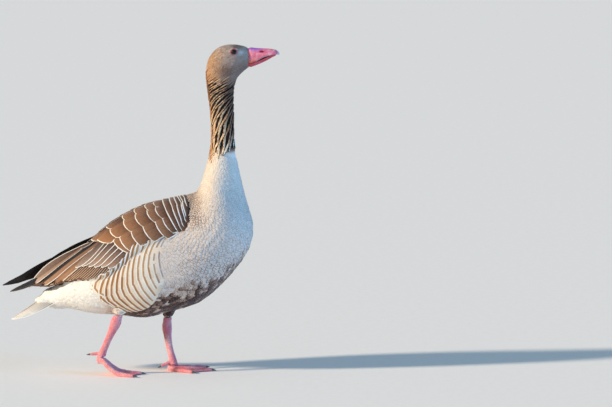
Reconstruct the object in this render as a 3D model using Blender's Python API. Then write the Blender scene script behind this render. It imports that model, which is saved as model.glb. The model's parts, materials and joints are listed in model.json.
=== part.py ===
"""A greylag goose standing with its head held high, one foot forward and one back, at life size.

The bird faces +X, its left side is +Y, and the floor is z = 0. The origin lies on the floor under
the middle of the whole bird. Every solid shows the outer surface of the plumage, so the feathers
of the finished bird lie just inside it. The flesh is one long lofted form that runs from the root
of the tail to the bill, parted by thin cuts into rump, trunk, breast, neck and head. Wings, legs,
tail, eyes, bill and claws are solids of their own that fit against it.
"""

from collections import namedtuple
from math import cos, pi, radians, sin

import bmesh
import bpy
import numpy as np
from mathutils import Matrix, Vector

# Lengths below are in millimetres. MM turns them into metres when a mesh is made.
MM = 0.001
GAP = 0.3

# The body is a row of flat cross-sections from the tail's root to the bill. Each one stretches
# from a point of the back (dorsal) to a point of the underside (ventral), is widest at the
# share "widest" of the way up, and has this half width there.
Section = namedtuple("Section", "place dorsal ventral half_width widest")
BODY = (
    Section("tail root", (-188, 169), (-184, 138), 25, 0.50),
    Section("vent", (-146, 222), (-146, 132), 50, 0.48),
    Section("rump", (-98, 262), (-98, 122), 73, 0.47),
    Section("hips", (-45, 309), (-45, 119), 89, 0.47),
    Section("back", (10, 336), (10, 113), 95, 0.46),
    Section("shoulders", (60, 350), (60, 126), 94, 0.46),
    Section("keel", (88, 359), (118, 143), 92, 0.47),
    Section("crop", (107, 368), (178, 194), 88, 0.50),
    Section("breast", (119, 382), (222, 256), 80, 0.52),
    Section("neck base", (126, 401), (230.5, 303), 66, 0.54),
    Section("neck foot", (131.5, 419), (219, 345), 50, 0.55),
    Section("low neck", (136.5, 438), (207.5, 390), 38, 0.54),
    Section("neck", (141.5, 456), (197.5, 436), 30, 0.52),
    Section("mid neck", (144.5, 488), (191.7, 486), 24, 0.50),
    Section("thin neck", (142.0, 540), (191.7, 536), 21.5, 0.50),
    Section("upper neck", (135.6, 588), (191.9, 580), 22, 0.50),
    Section("throat", (133.8, 612), (195.0, 598), 23, 0.48),
    Section("jaw", (134.6, 630), (199.5, 607), 24, 0.46),
    Section("nape", (139.5, 646), (204.5, 612.5), 25, 0.46),
    Section("back of head", (149.5, 660), (209, 617), 25, 0.48),
    Section("cheek", (164, 669.5), (213, 620.8), 24.5, 0.50),
    Section("crown", (181, 673.4), (217.5, 624.2), 23, 0.52),
    Section("brow", (196, 673.2), (220.8, 626.6), 20, 0.52),
    Section("forehead", (209, 670.6), (222.8, 628.0), 16.5, 0.52),
    Section("bill base", (219, 667.6), (223.7, 628.6), 13.6, 0.52),
)
ROUND = 2.08  # exponent of the cross-section's curve, where 2 is an ellipse
BODY_SIDES = 24

# The thin cuts that part the body, as the places where they lie, and the number of rings between.
BODY_NODES = (
    ("rump", "tail root", "rump", 7),
    ("trunk", "rump", "keel", 10),
    ("breast", "keel", "low neck", 11),
    ("neck_lower", "low neck", "thin neck", 6),
    ("neck_upper", "thin neck", "throat", 5),
    ("head", "throat", "bill base", 14),
)

# The folded wing lies over a second row of sections, which shares the shoulders and then keeps
# the height of the folded feathers down to their tips. "low" is the angle round the section,
# from 0 at its widest to 90 on the back, where the wing's lower edge lies.
WingSection = namedtuple("WingSection", "dorsal ventral half_width widest low lift depth")
WING = (
    WingSection((108, 369.5), (178, 194), 88, 0.50, 78, 0.5, 6),
    WingSection((88, 361.5), (118, 143), 93, 0.47, 42, 3.0, 9),
    WingSection((60, 355.0), (60, 126), 96, 0.46, 29, 3.5, 11),
    WingSection((10, 343.0), (10, 113), 98, 0.46, 24, 3.5, 12),
    WingSection((-30, 325.0), (-30, 117), 95, 0.47, 13, 3.5, 12),
    WingSection((-66, 303.0), (-66, 121), 89, 0.46, 2, 3.0, 12),
    WingSection((-100, 273.0), (-100, 124), 78, 0.46, 4, 3.0, 12),
    WingSection((-145, 242.0), (-145, 138), 58, 0.45, 6, 2.0, 13),
    WingSection((-185, 215.0), (-185, 142), 40, 0.42, 6, 1.0, 11),
    WingSection((-226, 187.0), (-226, 168), 20, 0.45, 0, 0.5, 6),
)
WING_RINGS = 20
WING_COLUMNS = 10
EDGE_THICKNESS = 1.6

# Long flight feathers of each wing, as (x, y, z of the upper edge, y and z of the lower edge).
BLADE_LEFT = (
    (-98, 2, 278, 9, 275.5),
    (-130, 1, 263, 14, 253),
    (-165, 0, 246.5, 17, 229),
    (-200, 0, 229, 17, 208),
    (-235, 1, 208.5, 15, 190),
    (-262, 4, 192.5, 11, 182),
    (-283.3, 7, 179.2, 8, 178.2),
)
BLADE_RIGHT = (
    (-196, -12, 197, -24, 187),
    (-220, -10, 194, -20, 183),
    (-245, -10, 184, -17, 174.5),
    (-268, -12, 168.6, -13, 167.8),
)
BLADE_THICKNESS = 3.2

# The tail is a fan that droops at its sides.
TAIL_ROOT = (-170, 176)
TAIL_TIP = (-264.5, 109.5)
TAIL_ROOT_HALF_WIDTH = 24
TAIL_TIP_HALF_WIDTH = 46
TAIL_DROOP = (21, 4)  # how far the sides hang below the middle, at the root and at the tip
TAIL_ROUNDING = 0.26  # how much shorter the outermost feathers are, as a share of the length
TAIL_THICKNESS = (11, 2.4)

# The bill, from its base to its tip: culmen height, cutting edge height, lowest height, half width.
BillSection = namedtuple("BillSection", "x culmen edge chin half_width")
BILL = (
    BillSection(223.7, 666.8, 637.4, 628.8, 13.4),
    BillSection(232.0, 666.0, 640.2, 632.2, 12.9),
    BillSection(242.0, 665.3, 643.8, 636.4, 12.0),
    BillSection(252.0, 664.9, 647.2, 640.6, 11.0),
    BillSection(262.0, 664.4, 649.8, 644.6, 10.2),
    BillSection(270.0, 663.6, 651.0, 647.2, 9.6),
    BillSection(276.5, 661.8, 651.9, 649.4, 8.0),
    BillSection(281.0, 659.4, 653.0, 651.6, 5.0),
    BillSection(283.3, 657.4, 655.0, 653.6, 2.0),
)
NAIL_START = 270.0
LOWER_BILL_END = 276.5
BILL_LIP = 0.8  # how far the lower mandible lies inside the upper one at each side

EYE_CENTRE = (191, 15.7, 660.0)
EYE_RADIUS = 7.5

# Legs: points of each leg from the feathers down to the ball of the foot, with the size there
# from front to back and from side to side.
LegRing = namedtuple("LegRing", "x y z deep wide")
RIGHT_LEG = (
    LegRing(-41.5, -49, 134, 20, 16),
    LegRing(-46.5, -51, 120, 19, 15),
    LegRing(-50.5, -52, 108, 23, 17),
    LegRing(-55.0, -51, 97, 18.5, 13.5),
    LegRing(-63.5, -48, 79, 15.0, 11.2),
    LegRing(-71.5, -44, 60, 14.2, 10.8),
    LegRing(-77.0, -41, 47, 15.5, 13.5),
    LegRing(-79.5, -39, 38, 17.5, 16.5),
)
LEFT_LEG = (
    LegRing(54.5, 50, 116, 19, 15),
    LegRing(52.5, 50, 101, 17.5, 14),
    LegRing(52.0, 49, 86, 21, 16),
    LegRing(53.0, 46, 74, 17, 13),
    LegRing(55.5, 41, 56, 14.8, 11),
    LegRing(59.5, 35, 38, 14.2, 10.8),
    LegRing(64.0, 31, 22, 16, 14),
    LegRing(66.5, 29, 12, 18, 17),
)
THIGHS = (
    ("thigh_right", (-28, -40, 168), (-43.5, -50.5, 124.0), (64, 46), (22, 18)),
    ("thigh_left", (63, 40, 160), (53.4, 50, 108.0), (70, 50), (21, 17)),
)

# Feet: three toes with webs between them. A toe's spine is given by how far along the toe it is
# and how high its upper face lies there.
Foot = namedtuple("Foot", "side heel turn top_heights")
FEET = (
    Foot("left", (55, 30), -6, ((0, 12.5), (0.16, 12.2), (0.34, 10.0), (0.6, 9.0), (0.85, 8.0), (1, 6.4))),
    Foot("right", (-88, -38.5), 4, ((0, 37.7), (0.16, 37.7), (0.36, 21.5), (0.55, 11), (0.8, 8.4), (1, 6.4))),
)
TOES = ((-33, 66), (0, 90), (29, 82))  # angle from straight ahead and length, from inner to outer
TOE_HALF_WIDTH = 5.0
TOE_ROOT_SPACING = 6.2
WEB_LOW = 1.2
WEB_HIGH = 2.8
WEB_SCALLOP = 0.13  # how far the web's edge curves back between two toes
FOOT_ROWS = 11
SOLE_DEPTH = 11.0  # the toe's depth where it lies above the floor
CLAW_LENGTH = 9.0
CLAW_RADIUS = 2.5
CLAW_SIDES = 7
HALLUX_LENGTH = 24.0
HALLUX_FALL = {"left": 0.42, "right": 0.10}  # how steeply it points down behind each leg


def finish_material(name, colour, roughness, metallic=0.0):
    """A plain Principled material, as the solids carry no pattern of their own."""
    material = bpy.data.materials.new(name)
    material.use_nodes = True
    shader = material.node_tree.nodes["Principled BSDF"]
    shader.inputs["Base Color"].default_value = (*colour, 1.0)
    shader.inputs["Roughness"].default_value = roughness
    shader.inputs["Metallic"].default_value = metallic
    material.diffuse_color = (*colour, 1.0)
    return material


def add_object(name, bm, material):
    """Closes the bmesh into a named object, outside out and shaded smooth."""
    bmesh.ops.recalc_face_normals(bm, faces=bm.faces)
    mesh = bpy.data.meshes.new(name)
    bm.to_mesh(mesh)
    bm.free()
    mesh.shade_smooth()
    mesh.set_sharp_from_angle(angle=radians(40))
    mesh.materials.append(material)
    obj = bpy.data.objects.new(name, mesh)
    bpy.context.scene.collection.objects.link(obj)
    return obj


def difference(obj, cutter):
    """Cuts one object by another and removes the cutter."""
    cutter.hide_render = True
    cutter.display_type = "WIRE"
    modifier = obj.modifiers.new("fit", "BOOLEAN")
    modifier.operation = "DIFFERENCE"
    modifier.solver = "EXACT"
    modifier.object = cutter
    cut_mesh = bpy.data.meshes.new_from_object(obj.evaluated_get(bpy.context.evaluated_depsgraph_get()))
    obj.modifiers.clear()
    obj.data = cut_mesh
    bpy.data.objects.remove(cutter)


def keep_largest_part(obj):
    """Drops the crumbs that a cut along a nearly matching surface leaves beside the main solid."""
    bm = bmesh.new()
    bm.from_mesh(obj.data)
    left = set(bm.verts)
    islands = []
    while left:
        queue = [left.pop()]
        island = set(queue)
        while queue:
            for edge in queue.pop().link_edges:
                for vert in edge.verts:
                    if vert not in island:
                        island.add(vert)
                        queue.append(vert)
        left -= island
        islands.append(island)
    largest = max(islands, key=len)
    crumbs = [vert for vert in bm.verts if vert not in largest]
    bmesh.ops.delete(bm, geom=crumbs, context="VERTS")
    bm.to_mesh(obj.data)
    bm.free()


def smooth_curve(keys, values):
    """A smooth curve through rows of values at increasing keys, as a function of the key."""
    keys = np.asarray(keys, float)
    values = np.asarray(values, float)
    slopes = np.gradient(values, keys, axis=0)

    def at(key):
        i = int(np.clip(np.searchsorted(keys, key) - 1, 0, len(keys) - 2))
        span = keys[i + 1] - keys[i]
        t = np.clip((key - keys[i]) / span, 0.0, 1.0)
        return (
            (2 * t**3 - 3 * t**2 + 1) * values[i]
            + (t**3 - 2 * t**2 + t) * span * slopes[i]
            + (3 * t**2 - 2 * t**3) * values[i + 1]
            + (t**3 - t**2) * span * slopes[i + 1]
        )

    return at


def path_lengths(points):
    """The distance along a row of points up to each of them."""
    steps = np.linalg.norm(np.diff(np.asarray(points, float), axis=0), axis=1)
    return np.concatenate([[0.0], np.cumsum(steps)])


class Loft:
    """A smooth form through flat cross-sections that lie across the bird's middle plane."""

    def __init__(self, sections, extra=()):
        middles = [(np.add(s.dorsal, s.ventral)) / 2 for s in sections]
        self.keys = path_lengths(middles)
        rows = [
            (*s.dorsal, *s.ventral, s.half_width, s.widest, *(getattr(s, name) for name in extra))
            for s in sections
        ]
        self.row = smooth_curve(self.keys, rows)

    def frame(self, key, grow=0.0):
        """The widest point's place, the way up, the two half heights and the half width."""
        row = self.row(key)
        dorsal, ventral = row[0:2], row[2:4]
        height = np.linalg.norm(dorsal - ventral)
        up = (dorsal - ventral) / height
        centre = ventral + up * height * row[5]
        above = height * (1 - row[5]) + grow
        below = height * row[5] + grow
        return centre, up, above, below, row[4] + grow

    def point(self, key, angle, grow=0.0):
        """A point of the surface, with angle 0 at the left side's widest and 90 on the back."""
        centre, up, above, below, half_width = self.frame(key, grow)
        side = np.sign(cos(angle)) * abs(cos(angle)) ** (2 / ROUND)
        rise = np.sign(sin(angle)) * abs(sin(angle)) ** (2 / ROUND)
        reach = above if rise > 0 else below
        x, z = centre + up * reach * rise
        return Vector((x, half_width * side, z))

    def ring(self, key, grow=0.0, shift=0.0):
        """A closed ring of points round one cross-section, moved along the body by shift."""
        centre, up, *_ = self.frame(key, grow)
        along = Vector((up[1], 0.0, -up[0])) * shift
        angles = [2 * pi * i / BODY_SIDES for i in range(BODY_SIDES)]
        return [self.point(key, angle, grow) + along for angle in angles]


def tube(rings):
    """An open-ended skin through rings of points, with the vertex loops of its two ends."""
    bm = bmesh.new()
    loops = [[bm.verts.new(Vector(point) * MM) for point in ring] for ring in rings]
    count = len(loops[0])
    for near, far in zip(loops, loops[1:]):
        for i in range(count):
            j = (i + 1) % count
            bm.faces.new((near[i], near[j], far[j], far[i]))
    return bm, loops[0], loops[-1]


def lofted(rings):
    """A closed solid through rings of points, with a flat cap at each end."""
    bm, first, last = tube(rings)
    bm.faces.new(first)
    bm.faces.new(last)
    return bm


def slab(outer, inner):
    """A closed plate between two grids of points that match, its ends closed by strips."""
    bm, first, last = tube([list(top) + list(reversed(low)) for top, low in zip(outer, inner)])
    for loop in (first, last):
        for i in range(len(outer[0]) - 1):
            bm.faces.new((loop[i], loop[i + 1], loop[-2 - i], loop[-1 - i]))
    return bm


def body_rings(loft, start, end, count, inset, grow=0.0):
    """Rings from one place of the body to another, the end ones set in by half a gap."""
    keys = np.linspace(start, end, count)
    rings = [loft.ring(key, grow) for key in keys]
    rings[0] = loft.ring(start, grow, inset)
    rings[-1] = loft.ring(end, grow, -inset)
    return rings


def build_body(loft, places):
    """Rump, trunk, breast, neck and head, each a length of the one long form."""
    colours = {
        "rump": (0.86, 0.82, 0.76),
        "trunk": (0.62, 0.52, 0.43),
        "breast": (0.66, 0.57, 0.49),
        "neck_lower": (0.40, 0.28, 0.20),
        "neck_upper": (0.22, 0.14, 0.10),
        "head": (0.36, 0.26, 0.20),
    }
    nodes = {}
    for name, start, end, count in BODY_NODES:
        rings = body_rings(loft, places[start], places[end], count, GAP / 2)
        material = finish_material(f"plumage_{name}", colours[name], 0.85)
        nodes[name] = add_object(name, lofted(rings), material)
    return nodes


def body_cutter(loft, start, end, count):
    """The same form grown by one gap, to cut whatever lies against the body."""
    rings = body_rings(loft, start, end, count, -GAP, GAP)
    return add_object("body_cutter", lofted(rings), finish_material("cutter", (1, 0, 0), 0.5))


def wing_solid(side, grow=0.0):
    """The folded wing as a plate that follows its own sections, with its skin moved out by grow."""
    loft = Loft(WING, extra=("low", "lift", "depth"))
    sign = 1 if side == "left" else -1
    outer, inner = [], []
    for key in np.linspace(0, loft.keys[-1], WING_RINGS):
        low, lift, depth = loft.row(key)[6:9]
        half_width = loft.frame(key)[4]
        top = 90 - np.degrees((GAP / half_width) ** (ROUND / 2))
        low -= np.degrees(grow / half_width)
        outer_row, inner_row = [], []
        for share in np.linspace(0, 1, WING_COLUMNS):
            angle = radians(low + (top - low) * share)
            plump = min(1.0, share * 4) ** 0.5
            thickness = EDGE_THICKNESS + (depth - EDGE_THICKNESS) * plump
            skin = loft.point(key, angle, lift * plump + grow)
            under = loft.point(key, angle, lift * plump - thickness - grow)
            midline = GAP / 2 - grow
            outer_row.append((skin.x, max(skin.y, midline) * sign, skin.z))
            inner_row.append((under.x, max(under.y, midline) * sign, under.z))
        outer.append(outer_row)
        inner.append(inner_row)
    return slab(outer, inner)


def build_wing(side, cutter):
    """The folded arm with its coverts, shoulder feathers and long inner flight feathers."""
    material = finish_material(f"wing_feathers_{side}", (0.25, 0.15, 0.10), 0.7)
    wing = add_object(f"wing_{side}", wing_solid(side), material)
    difference(wing, cutter)
    keep_largest_part(wing)


def build_blade(side, spine):
    """The long flight feathers that show past the folded wing, as one tapering blade."""
    at = smooth_curve([-row[0] for row in spine], spine)
    outer, inner = [], []
    for x in np.linspace(spine[0][0], spine[-1][0], 3 * len(spine) - 2):
        _, high_y, high_z, low_y, low_z = at(-x)
        across = Vector((0, low_y - high_y, low_z - high_z))
        facing = Vector((0, -across.z, across.y)).normalized()
        thick = max(0.7, min(BLADE_THICKNESS, across.length * 0.3))
        row = [Vector((x, high_y, high_z)) + across * share for share in (0, 0.3, 0.7, 1)]
        bulge = [0.3, 1.0, 1.0, 0.3]
        outer.append([point + facing * thick * b / 2 for point, b in zip(row, bulge)])
        inner.append([point - facing * thick * b / 2 for point, b in zip(row, bulge)])
    material = finish_material(f"flight_feathers_{side}", (0.02, 0.015, 0.02), 0.6)
    blade = add_object(f"primaries_{side}", slab(outer, inner), material)
    for wing_side in ("left", "right"):
        difference(blade, add_object("wing_cutter", wing_solid(wing_side, GAP), material))
    keep_largest_part(blade)


def build_tail(cutter):
    """The tail feathers, a thin fan arched over the under tail coverts."""
    rows, columns = 8, 11
    outer, inner = [], []
    for i in range(rows):
        share = i / (rows - 1)
        half_width = TAIL_ROOT_HALF_WIDTH + (TAIL_TIP_HALF_WIDTH - TAIL_ROOT_HALF_WIDTH) * share**0.8
        thick = TAIL_THICKNESS[0] + (TAIL_THICKNESS[1] - TAIL_THICKNESS[0]) * share**0.6
        droop = TAIL_DROOP[0] + (TAIL_DROOP[1] - TAIL_DROOP[0]) * share
        outer_row, inner_row = [], []
        for j in range(columns):
            across = 2 * j / (columns - 1) - 1
            along = share * (1 - TAIL_ROUNDING * across**2)
            x = TAIL_ROOT[0] + (TAIL_TIP[0] - TAIL_ROOT[0]) * along
            crown = TAIL_ROOT[1] + (TAIL_TIP[1] - TAIL_ROOT[1]) * along
            z = crown - droop * abs(across) ** 1.8
            edge = 1 - 0.6 * across**6
            outer_row.append((x, half_width * across, z))
            inner_row.append((x, half_width * across * 0.985, z - thick * edge))
        outer.append(outer_row)
        inner.append(inner_row)
    tail = add_object("tail", slab(outer, inner), finish_material("tail_feathers", (0.55, 0.50, 0.46), 0.7))
    difference(tail, cutter)
    keep_largest_part(tail)
    return tail


def bill_curve():
    return smooth_curve([s.x for s in BILL], BILL)


def upper_bill_ring(section):
    """An arch: flat below, where the cutting edge is, and rounded up to the culmen."""
    ring = []
    for i in range(13):
        angle = pi * i / 12
        rise = (section[1] - section[2]) * sin(angle) ** 0.85
        ring.append((section[0], section[4] * cos(angle), section[2] + GAP / 2 + rise))
    return ring


def lower_bill_ring(section):
    """The same arch upside down and a little narrower."""
    ring = []
    half_width = max(section[4] - BILL_LIP, 1.0)
    for i in range(11):
        angle = pi * i / 10
        drop = (section[2] - section[3]) * sin(angle) ** 0.7
        ring.append((section[0], half_width * cos(angle), section[2] - GAP / 2 - drop))
    return ring


def slanted_base(ring, loft, key):
    """Moves a ring's points along X onto the slanting plane where the feathers begin."""
    centre, up, *_ = loft.frame(key)
    base = []
    for x, y, z in ring:
        plane_x = centre[0] + (z - centre[1]) * up[0] / up[1]
        base.append((plane_x + GAP, y, z))
    return base


def build_bill(loft, base_key):
    """Upper mandible, its nail and the lower mandible."""
    at = bill_curve()
    horn = finish_material("bill_skin", (0.72, 0.14, 0.20), 0.45)
    nail_horn = finish_material("nail_horn", (0.78, 0.66, 0.60), 0.35)
    upper = [upper_bill_ring(at(x)) for x in np.linspace(BILL[0].x, NAIL_START - GAP, 9)]
    upper[0] = slanted_base(upper[0], loft, base_key)
    add_object("bill_upper", lofted(upper), horn)
    nail = [upper_bill_ring(at(x)) for x in np.linspace(NAIL_START, BILL[-1].x, 6)]
    add_object("bill_nail", lofted(nail), nail_horn)
    lower = [lower_bill_ring(at(x)) for x in np.linspace(BILL[0].x, LOWER_BILL_END, 8)]
    lower[0] = slanted_base(lower[0], loft, base_key)
    add_object("bill_lower", lofted(lower), horn)


def ball(name, centre, radius, material, segments=14):
    bm = bmesh.new()
    bmesh.ops.create_uvsphere(bm, u_segments=segments, v_segments=segments * 2 // 3, radius=radius * MM)
    bmesh.ops.rotate(bm, matrix=Matrix.Rotation(pi / 2, 3, "X"), verts=bm.verts)
    bmesh.ops.translate(bm, vec=Vector(centre) * MM, verts=bm.verts)
    return add_object(name, bm, material)


def build_eyes(head):
    """Each eyeball sits in a socket of the head and bulges a little past the feathers."""
    dark = finish_material("eye", (0.02, 0.01, 0.01), 0.08)
    for side, sign in (("left", 1), ("right", -1)):
        centre = (EYE_CENTRE[0], EYE_CENTRE[1] * sign, EYE_CENTRE[2])
        ball(f"eye_{side}", centre, EYE_RADIUS, dark)
        difference(head, ball("socket_cutter", centre, EYE_RADIUS + GAP, dark))


def leg_ring(ring, direction, sides=12, grow=0.0):
    """An oval across the leg, deeper from front to back than from side to side."""
    forward = Vector((1, 0, 0))
    forward = (forward - direction * forward.dot(direction)).normalized()
    sideways = direction.cross(forward)
    middle = Vector((ring[0], ring[1], ring[2]))
    points = []
    for i in range(sides):
        angle = 2 * pi * i / sides
        reach_forward = forward * (ring[3] / 2 + grow) * cos(angle)
        points.append(middle + reach_forward + sideways * (ring[4] / 2 + grow) * sin(angle))
    return points


def trim(bm, height, keep_above):
    """Cuts a solid level at this height and closes the cut."""
    geometry = list(bm.verts) + list(bm.edges) + list(bm.faces)
    cut = bmesh.ops.bisect_plane(
        bm,
        geom=geometry,
        plane_co=(0, 0, height * MM),
        plane_no=(0, 0, 1),
        clear_inner=keep_above,
        clear_outer=not keep_above,
    )
    edges = [item for item in cut["geom_cut"] if isinstance(item, bmesh.types.BMEdge)]
    bmesh.ops.edgenet_fill(bm, edges=edges)


def leg_solid(rings, grow=0.0):
    """The bare leg as a bmesh, with its skin moved out by grow."""
    keys = path_lengths([ring[:3] for ring in rings])
    at = smooth_curve(keys, rings)
    loops = []
    for key in np.linspace(-0.04, 1.04, 13) * keys[-1]:
        inside = np.clip(key, 0, keys[-1])
        ahead = at(min(inside + 1, keys[-1]))
        behind = at(max(inside - 1, 0))
        direction = Vector(ahead[:3] - behind[:3]).normalized()
        row = at(inside).copy()
        row[:3] += np.array(direction) * (key - inside)
        loops.append(leg_ring(row, direction, grow=grow))
    return lofted(loops)


def build_shank(side, rings, top, bottom):
    """The bare leg: the foot of the shin, the hock and the scaly lower leg."""
    bm = leg_solid(rings)
    trim(bm, top, keep_above=False)
    trim(bm, bottom, keep_above=True)
    skin = finish_material(f"leg_skin_{side}", (0.78, 0.22, 0.28), 0.55)
    return add_object(f"shank_{side}", bm, skin)


def build_thigh(name, top, bottom, top_size, bottom_size, cutter, colour):
    """The feathered thigh, a cone that comes out of the belly and ends level above the shank."""
    loops = []
    for share in np.linspace(0, 1, 6):
        middle = Vector(top).lerp(Vector(bottom), share)
        waist = share**0.7
        deep = top_size[0] + (bottom_size[0] - top_size[0]) * waist
        wide = top_size[1] + (bottom_size[1] - top_size[1]) * waist
        loops.append(leg_ring((*middle, deep, wide), Vector((0, 0, -1)), sides=16))
    thigh = add_object(name, lofted(loops), finish_material(f"plumage_{name}", colour, 0.85))
    difference(thigh, cutter)
    keep_largest_part(thigh)


def toe_point(foot, toe, along, across):
    """A point of the foot's plan: along a toe from 0 at its root to 1, and across it."""
    angle, length = toe
    inward = 1 if foot.side == "left" else -1
    heading = radians(foot.turn + angle * inward)
    forward = Vector((cos(heading), sin(heading)))
    left = Vector((-forward.y, forward.x)) * inward
    root = Vector(foot.heel)
    spacing = {-33: -1, 0: 0, 29: 1}[angle] * TOE_ROOT_SPACING
    turned = radians(foot.turn)
    root_left = Vector((-sin(turned), cos(turned))) * inward
    return root + root_left * spacing * (1 - along * 0.25) + forward * along * length + left * across


def foot_row(foot, along):
    """One row of the foot from the inner toe to the outer: plan points, tops and undersides."""
    places, heights = zip(*foot.top_heights)
    narrow = 0.62 + 0.38 * min(1.0, along * 3)
    taper = 1 - 0.35 * max(0.0, along - 0.8) / 0.2
    row = []
    for index, toe in enumerate(TOES):
        top = np.interp(along, places, heights)
        sole = max(0.0, top - SOLE_DEPTH - 2.5 * (1 - min(1.0, along * 2.5)))
        middle = (top + sole) / 2
        for across, rise in ((-1, 0.25), (-0.62, 0.85), (0, 1.0), (0.62, 0.85), (1, 0.25)):
            plan = toe_point(foot, toe, along, across * TOE_HALF_WIDTH * narrow * taper)
            high = middle + (top - middle) * rise
            low = sole if abs(across) < 0.9 else middle - (middle - sole) * 0.55
            row.append((plan, high, low))
        if index == len(TOES) - 1:
            continue
        for share in (0.25, 0.75):
            web_along = along * (1 - WEB_SCALLOP * (1 - abs(2 * share - 1) ** 2))
            here = toe_point(foot, toe, web_along, TOE_HALF_WIDTH * narrow)
            there = toe_point(foot, TOES[index + 1], web_along, -TOE_HALF_WIDTH * narrow)
            blend = min(1.0, along * 5)
            web_top = np.interp(web_along, places, heights) - SOLE_DEPTH * 0.55
            high = max(WEB_HIGH, web_top * blend + middle * (1 - blend) * 1.15)
            low = max(WEB_LOW, high - 1.9 - 6 * (1 - blend))
            row.append((here.lerp(there, share), high, low))
    return row


def build_foot(foot):
    """Three toes joined by webs. Where the toes lie on the floor their soles are flat."""
    outer, inner = [], []
    for along in np.linspace(0, 1, FOOT_ROWS):
        row = foot_row(foot, along)
        outer.append([(plan.x, plan.y, high) for plan, high, low in row])
        inner.append([(plan.x, plan.y, low) for plan, high, low in row])
    skin = finish_material(f"foot_skin_{foot.side}", (0.76, 0.20, 0.26), 0.55)
    add_object(f"foot_{foot.side}", slab(outer, inner), skin)


def build_claws(foot):
    """A short curved claw at the end of each toe."""
    horn = finish_material(f"claw_horn_{foot.side}", (0.30, 0.22, 0.20), 0.4)
    for name, toe in zip(("inner", "middle", "outer"), TOES):
        start = toe_point(foot, toe, 1, 0)
        end = toe_point(foot, toe, 1 + CLAW_LENGTH / toe[1], 0)
        direction = (end - start).normalized()
        sideways = Vector((-direction.y, direction.x))
        rings = []
        for share in np.linspace(0, 1, 4):
            radius = CLAW_RADIUS * (1 - 0.85 * share**1.3)
            plan = start + direction * (GAP + CLAW_LENGTH * share)
            middle_z = 3.4 - 1.6 * share**2
            ring = []
            for i in range(CLAW_SIDES):
                angle = 2 * pi * i / CLAW_SIDES
                point = plan + sideways * radius * cos(angle)
                ring.append((point.x, point.y, middle_z + radius * sin(angle)))
            rings.append(ring)
        add_object(f"claw_{foot.side}_{name}", lofted(rings), horn)


def build_hallux(foot, leg):
    """The small hind toe, set high on the inner side of the leg, with its claw."""
    inward = -1 if foot.side == "left" else 1
    ankle = Vector(leg[-2][:3])
    start = ankle + Vector((-2.0, inward * 3.0, -2.0))
    heading = Vector((-0.9, inward * 0.10, -HALLUX_FALL[foot.side])).normalized()
    sideways = heading.cross(Vector((0, 0, 1))).normalized()
    upward = sideways.cross(heading)
    skin = finish_material(f"hind_toe_skin_{foot.side}", (0.74, 0.20, 0.26), 0.55)
    horn = finish_material(f"hind_claw_horn_{foot.side}", (0.30, 0.22, 0.20), 0.4)
    pieces = (
        (f"hallux_{foot.side}", 0.0, HALLUX_LENGTH, 4.2, 2.8, skin),
        (f"claw_{foot.side}_hind", HALLUX_LENGTH + GAP, HALLUX_LENGTH + 7.5, 2.3, 0.6, horn),
    )
    for name, near, far, wide, narrow, material in pieces:
        rings = []
        for share in np.linspace(0, 1, 4):
            radius = wide + (narrow - wide) * share
            middle = start + heading * (near + (far - near) * share)
            ring = []
            for i in range(CLAW_SIDES):
                angle = 2 * pi * i / CLAW_SIDES
                ring.append(middle + sideways * radius * cos(angle) + upward * radius * sin(angle))
            rings.append(ring)
        piece = add_object(name, lofted(rings), material)
        if near == 0.0:
            difference(piece, add_object("shank_cutter", leg_solid(leg, GAP), material))
            keep_largest_part(piece)


def main():
    for obj in list(bpy.data.objects):
        bpy.data.objects.remove(obj)

    loft = Loft(BODY)
    places = dict(zip((section.place for section in BODY), loft.keys))
    nodes = build_body(loft, places)
    build_eyes(nodes["head"])
    build_bill(loft, places["bill base"])

    back = (places["tail root"], places["mid neck"], 40)
    for side in ("left", "right"):
        build_wing(side, body_cutter(loft, *back))
    build_blade("left", BLADE_LEFT)
    build_blade("right", BLADE_RIGHT)
    build_tail(body_cutter(loft, *back))

    thigh_colours = {"thigh_right": (0.80, 0.74, 0.68), "thigh_left": (0.30, 0.24, 0.20)}
    for name, top, bottom, top_size, bottom_size in THIGHS:
        cutter = body_cutter(loft, *back)
        build_thigh(name, top, bottom, top_size, bottom_size, cutter, thigh_colours[name])
    legs = {"left": LEFT_LEG, "right": RIGHT_LEG}
    tops = {"left": THIGHS[1][2][2], "right": THIGHS[0][2][2]}
    for foot in FEET:
        bottom = foot.top_heights[0][1]
        build_shank(foot.side, legs[foot.side], tops[foot.side] - GAP, bottom + GAP)
        build_foot(foot)
        build_claws(foot)
        build_hallux(foot, legs[foot.side])


main()
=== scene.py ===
# %% [markdown]
# # A greylag goose, feather by feather
# The finished bird is a life-size goose that stands with its neck stretched up. A real goose is
# flesh with a coat laid over it, so this script works in the same order: one smooth skin, then
# thousands of small feathers that follow it, then the large feathers of wings and tail, and last
# the bare parts: eyes, bill, legs and claws. The packed solids give the place and size of all of it.

# %% Load the frame
import json
from collections import namedtuple
from math import cos, pi, radians, sin

import bmesh
import bpy
import numpy as np
from mathutils import Matrix, Vector, noise
from mathutils.bvhtree import BVHTree

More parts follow.
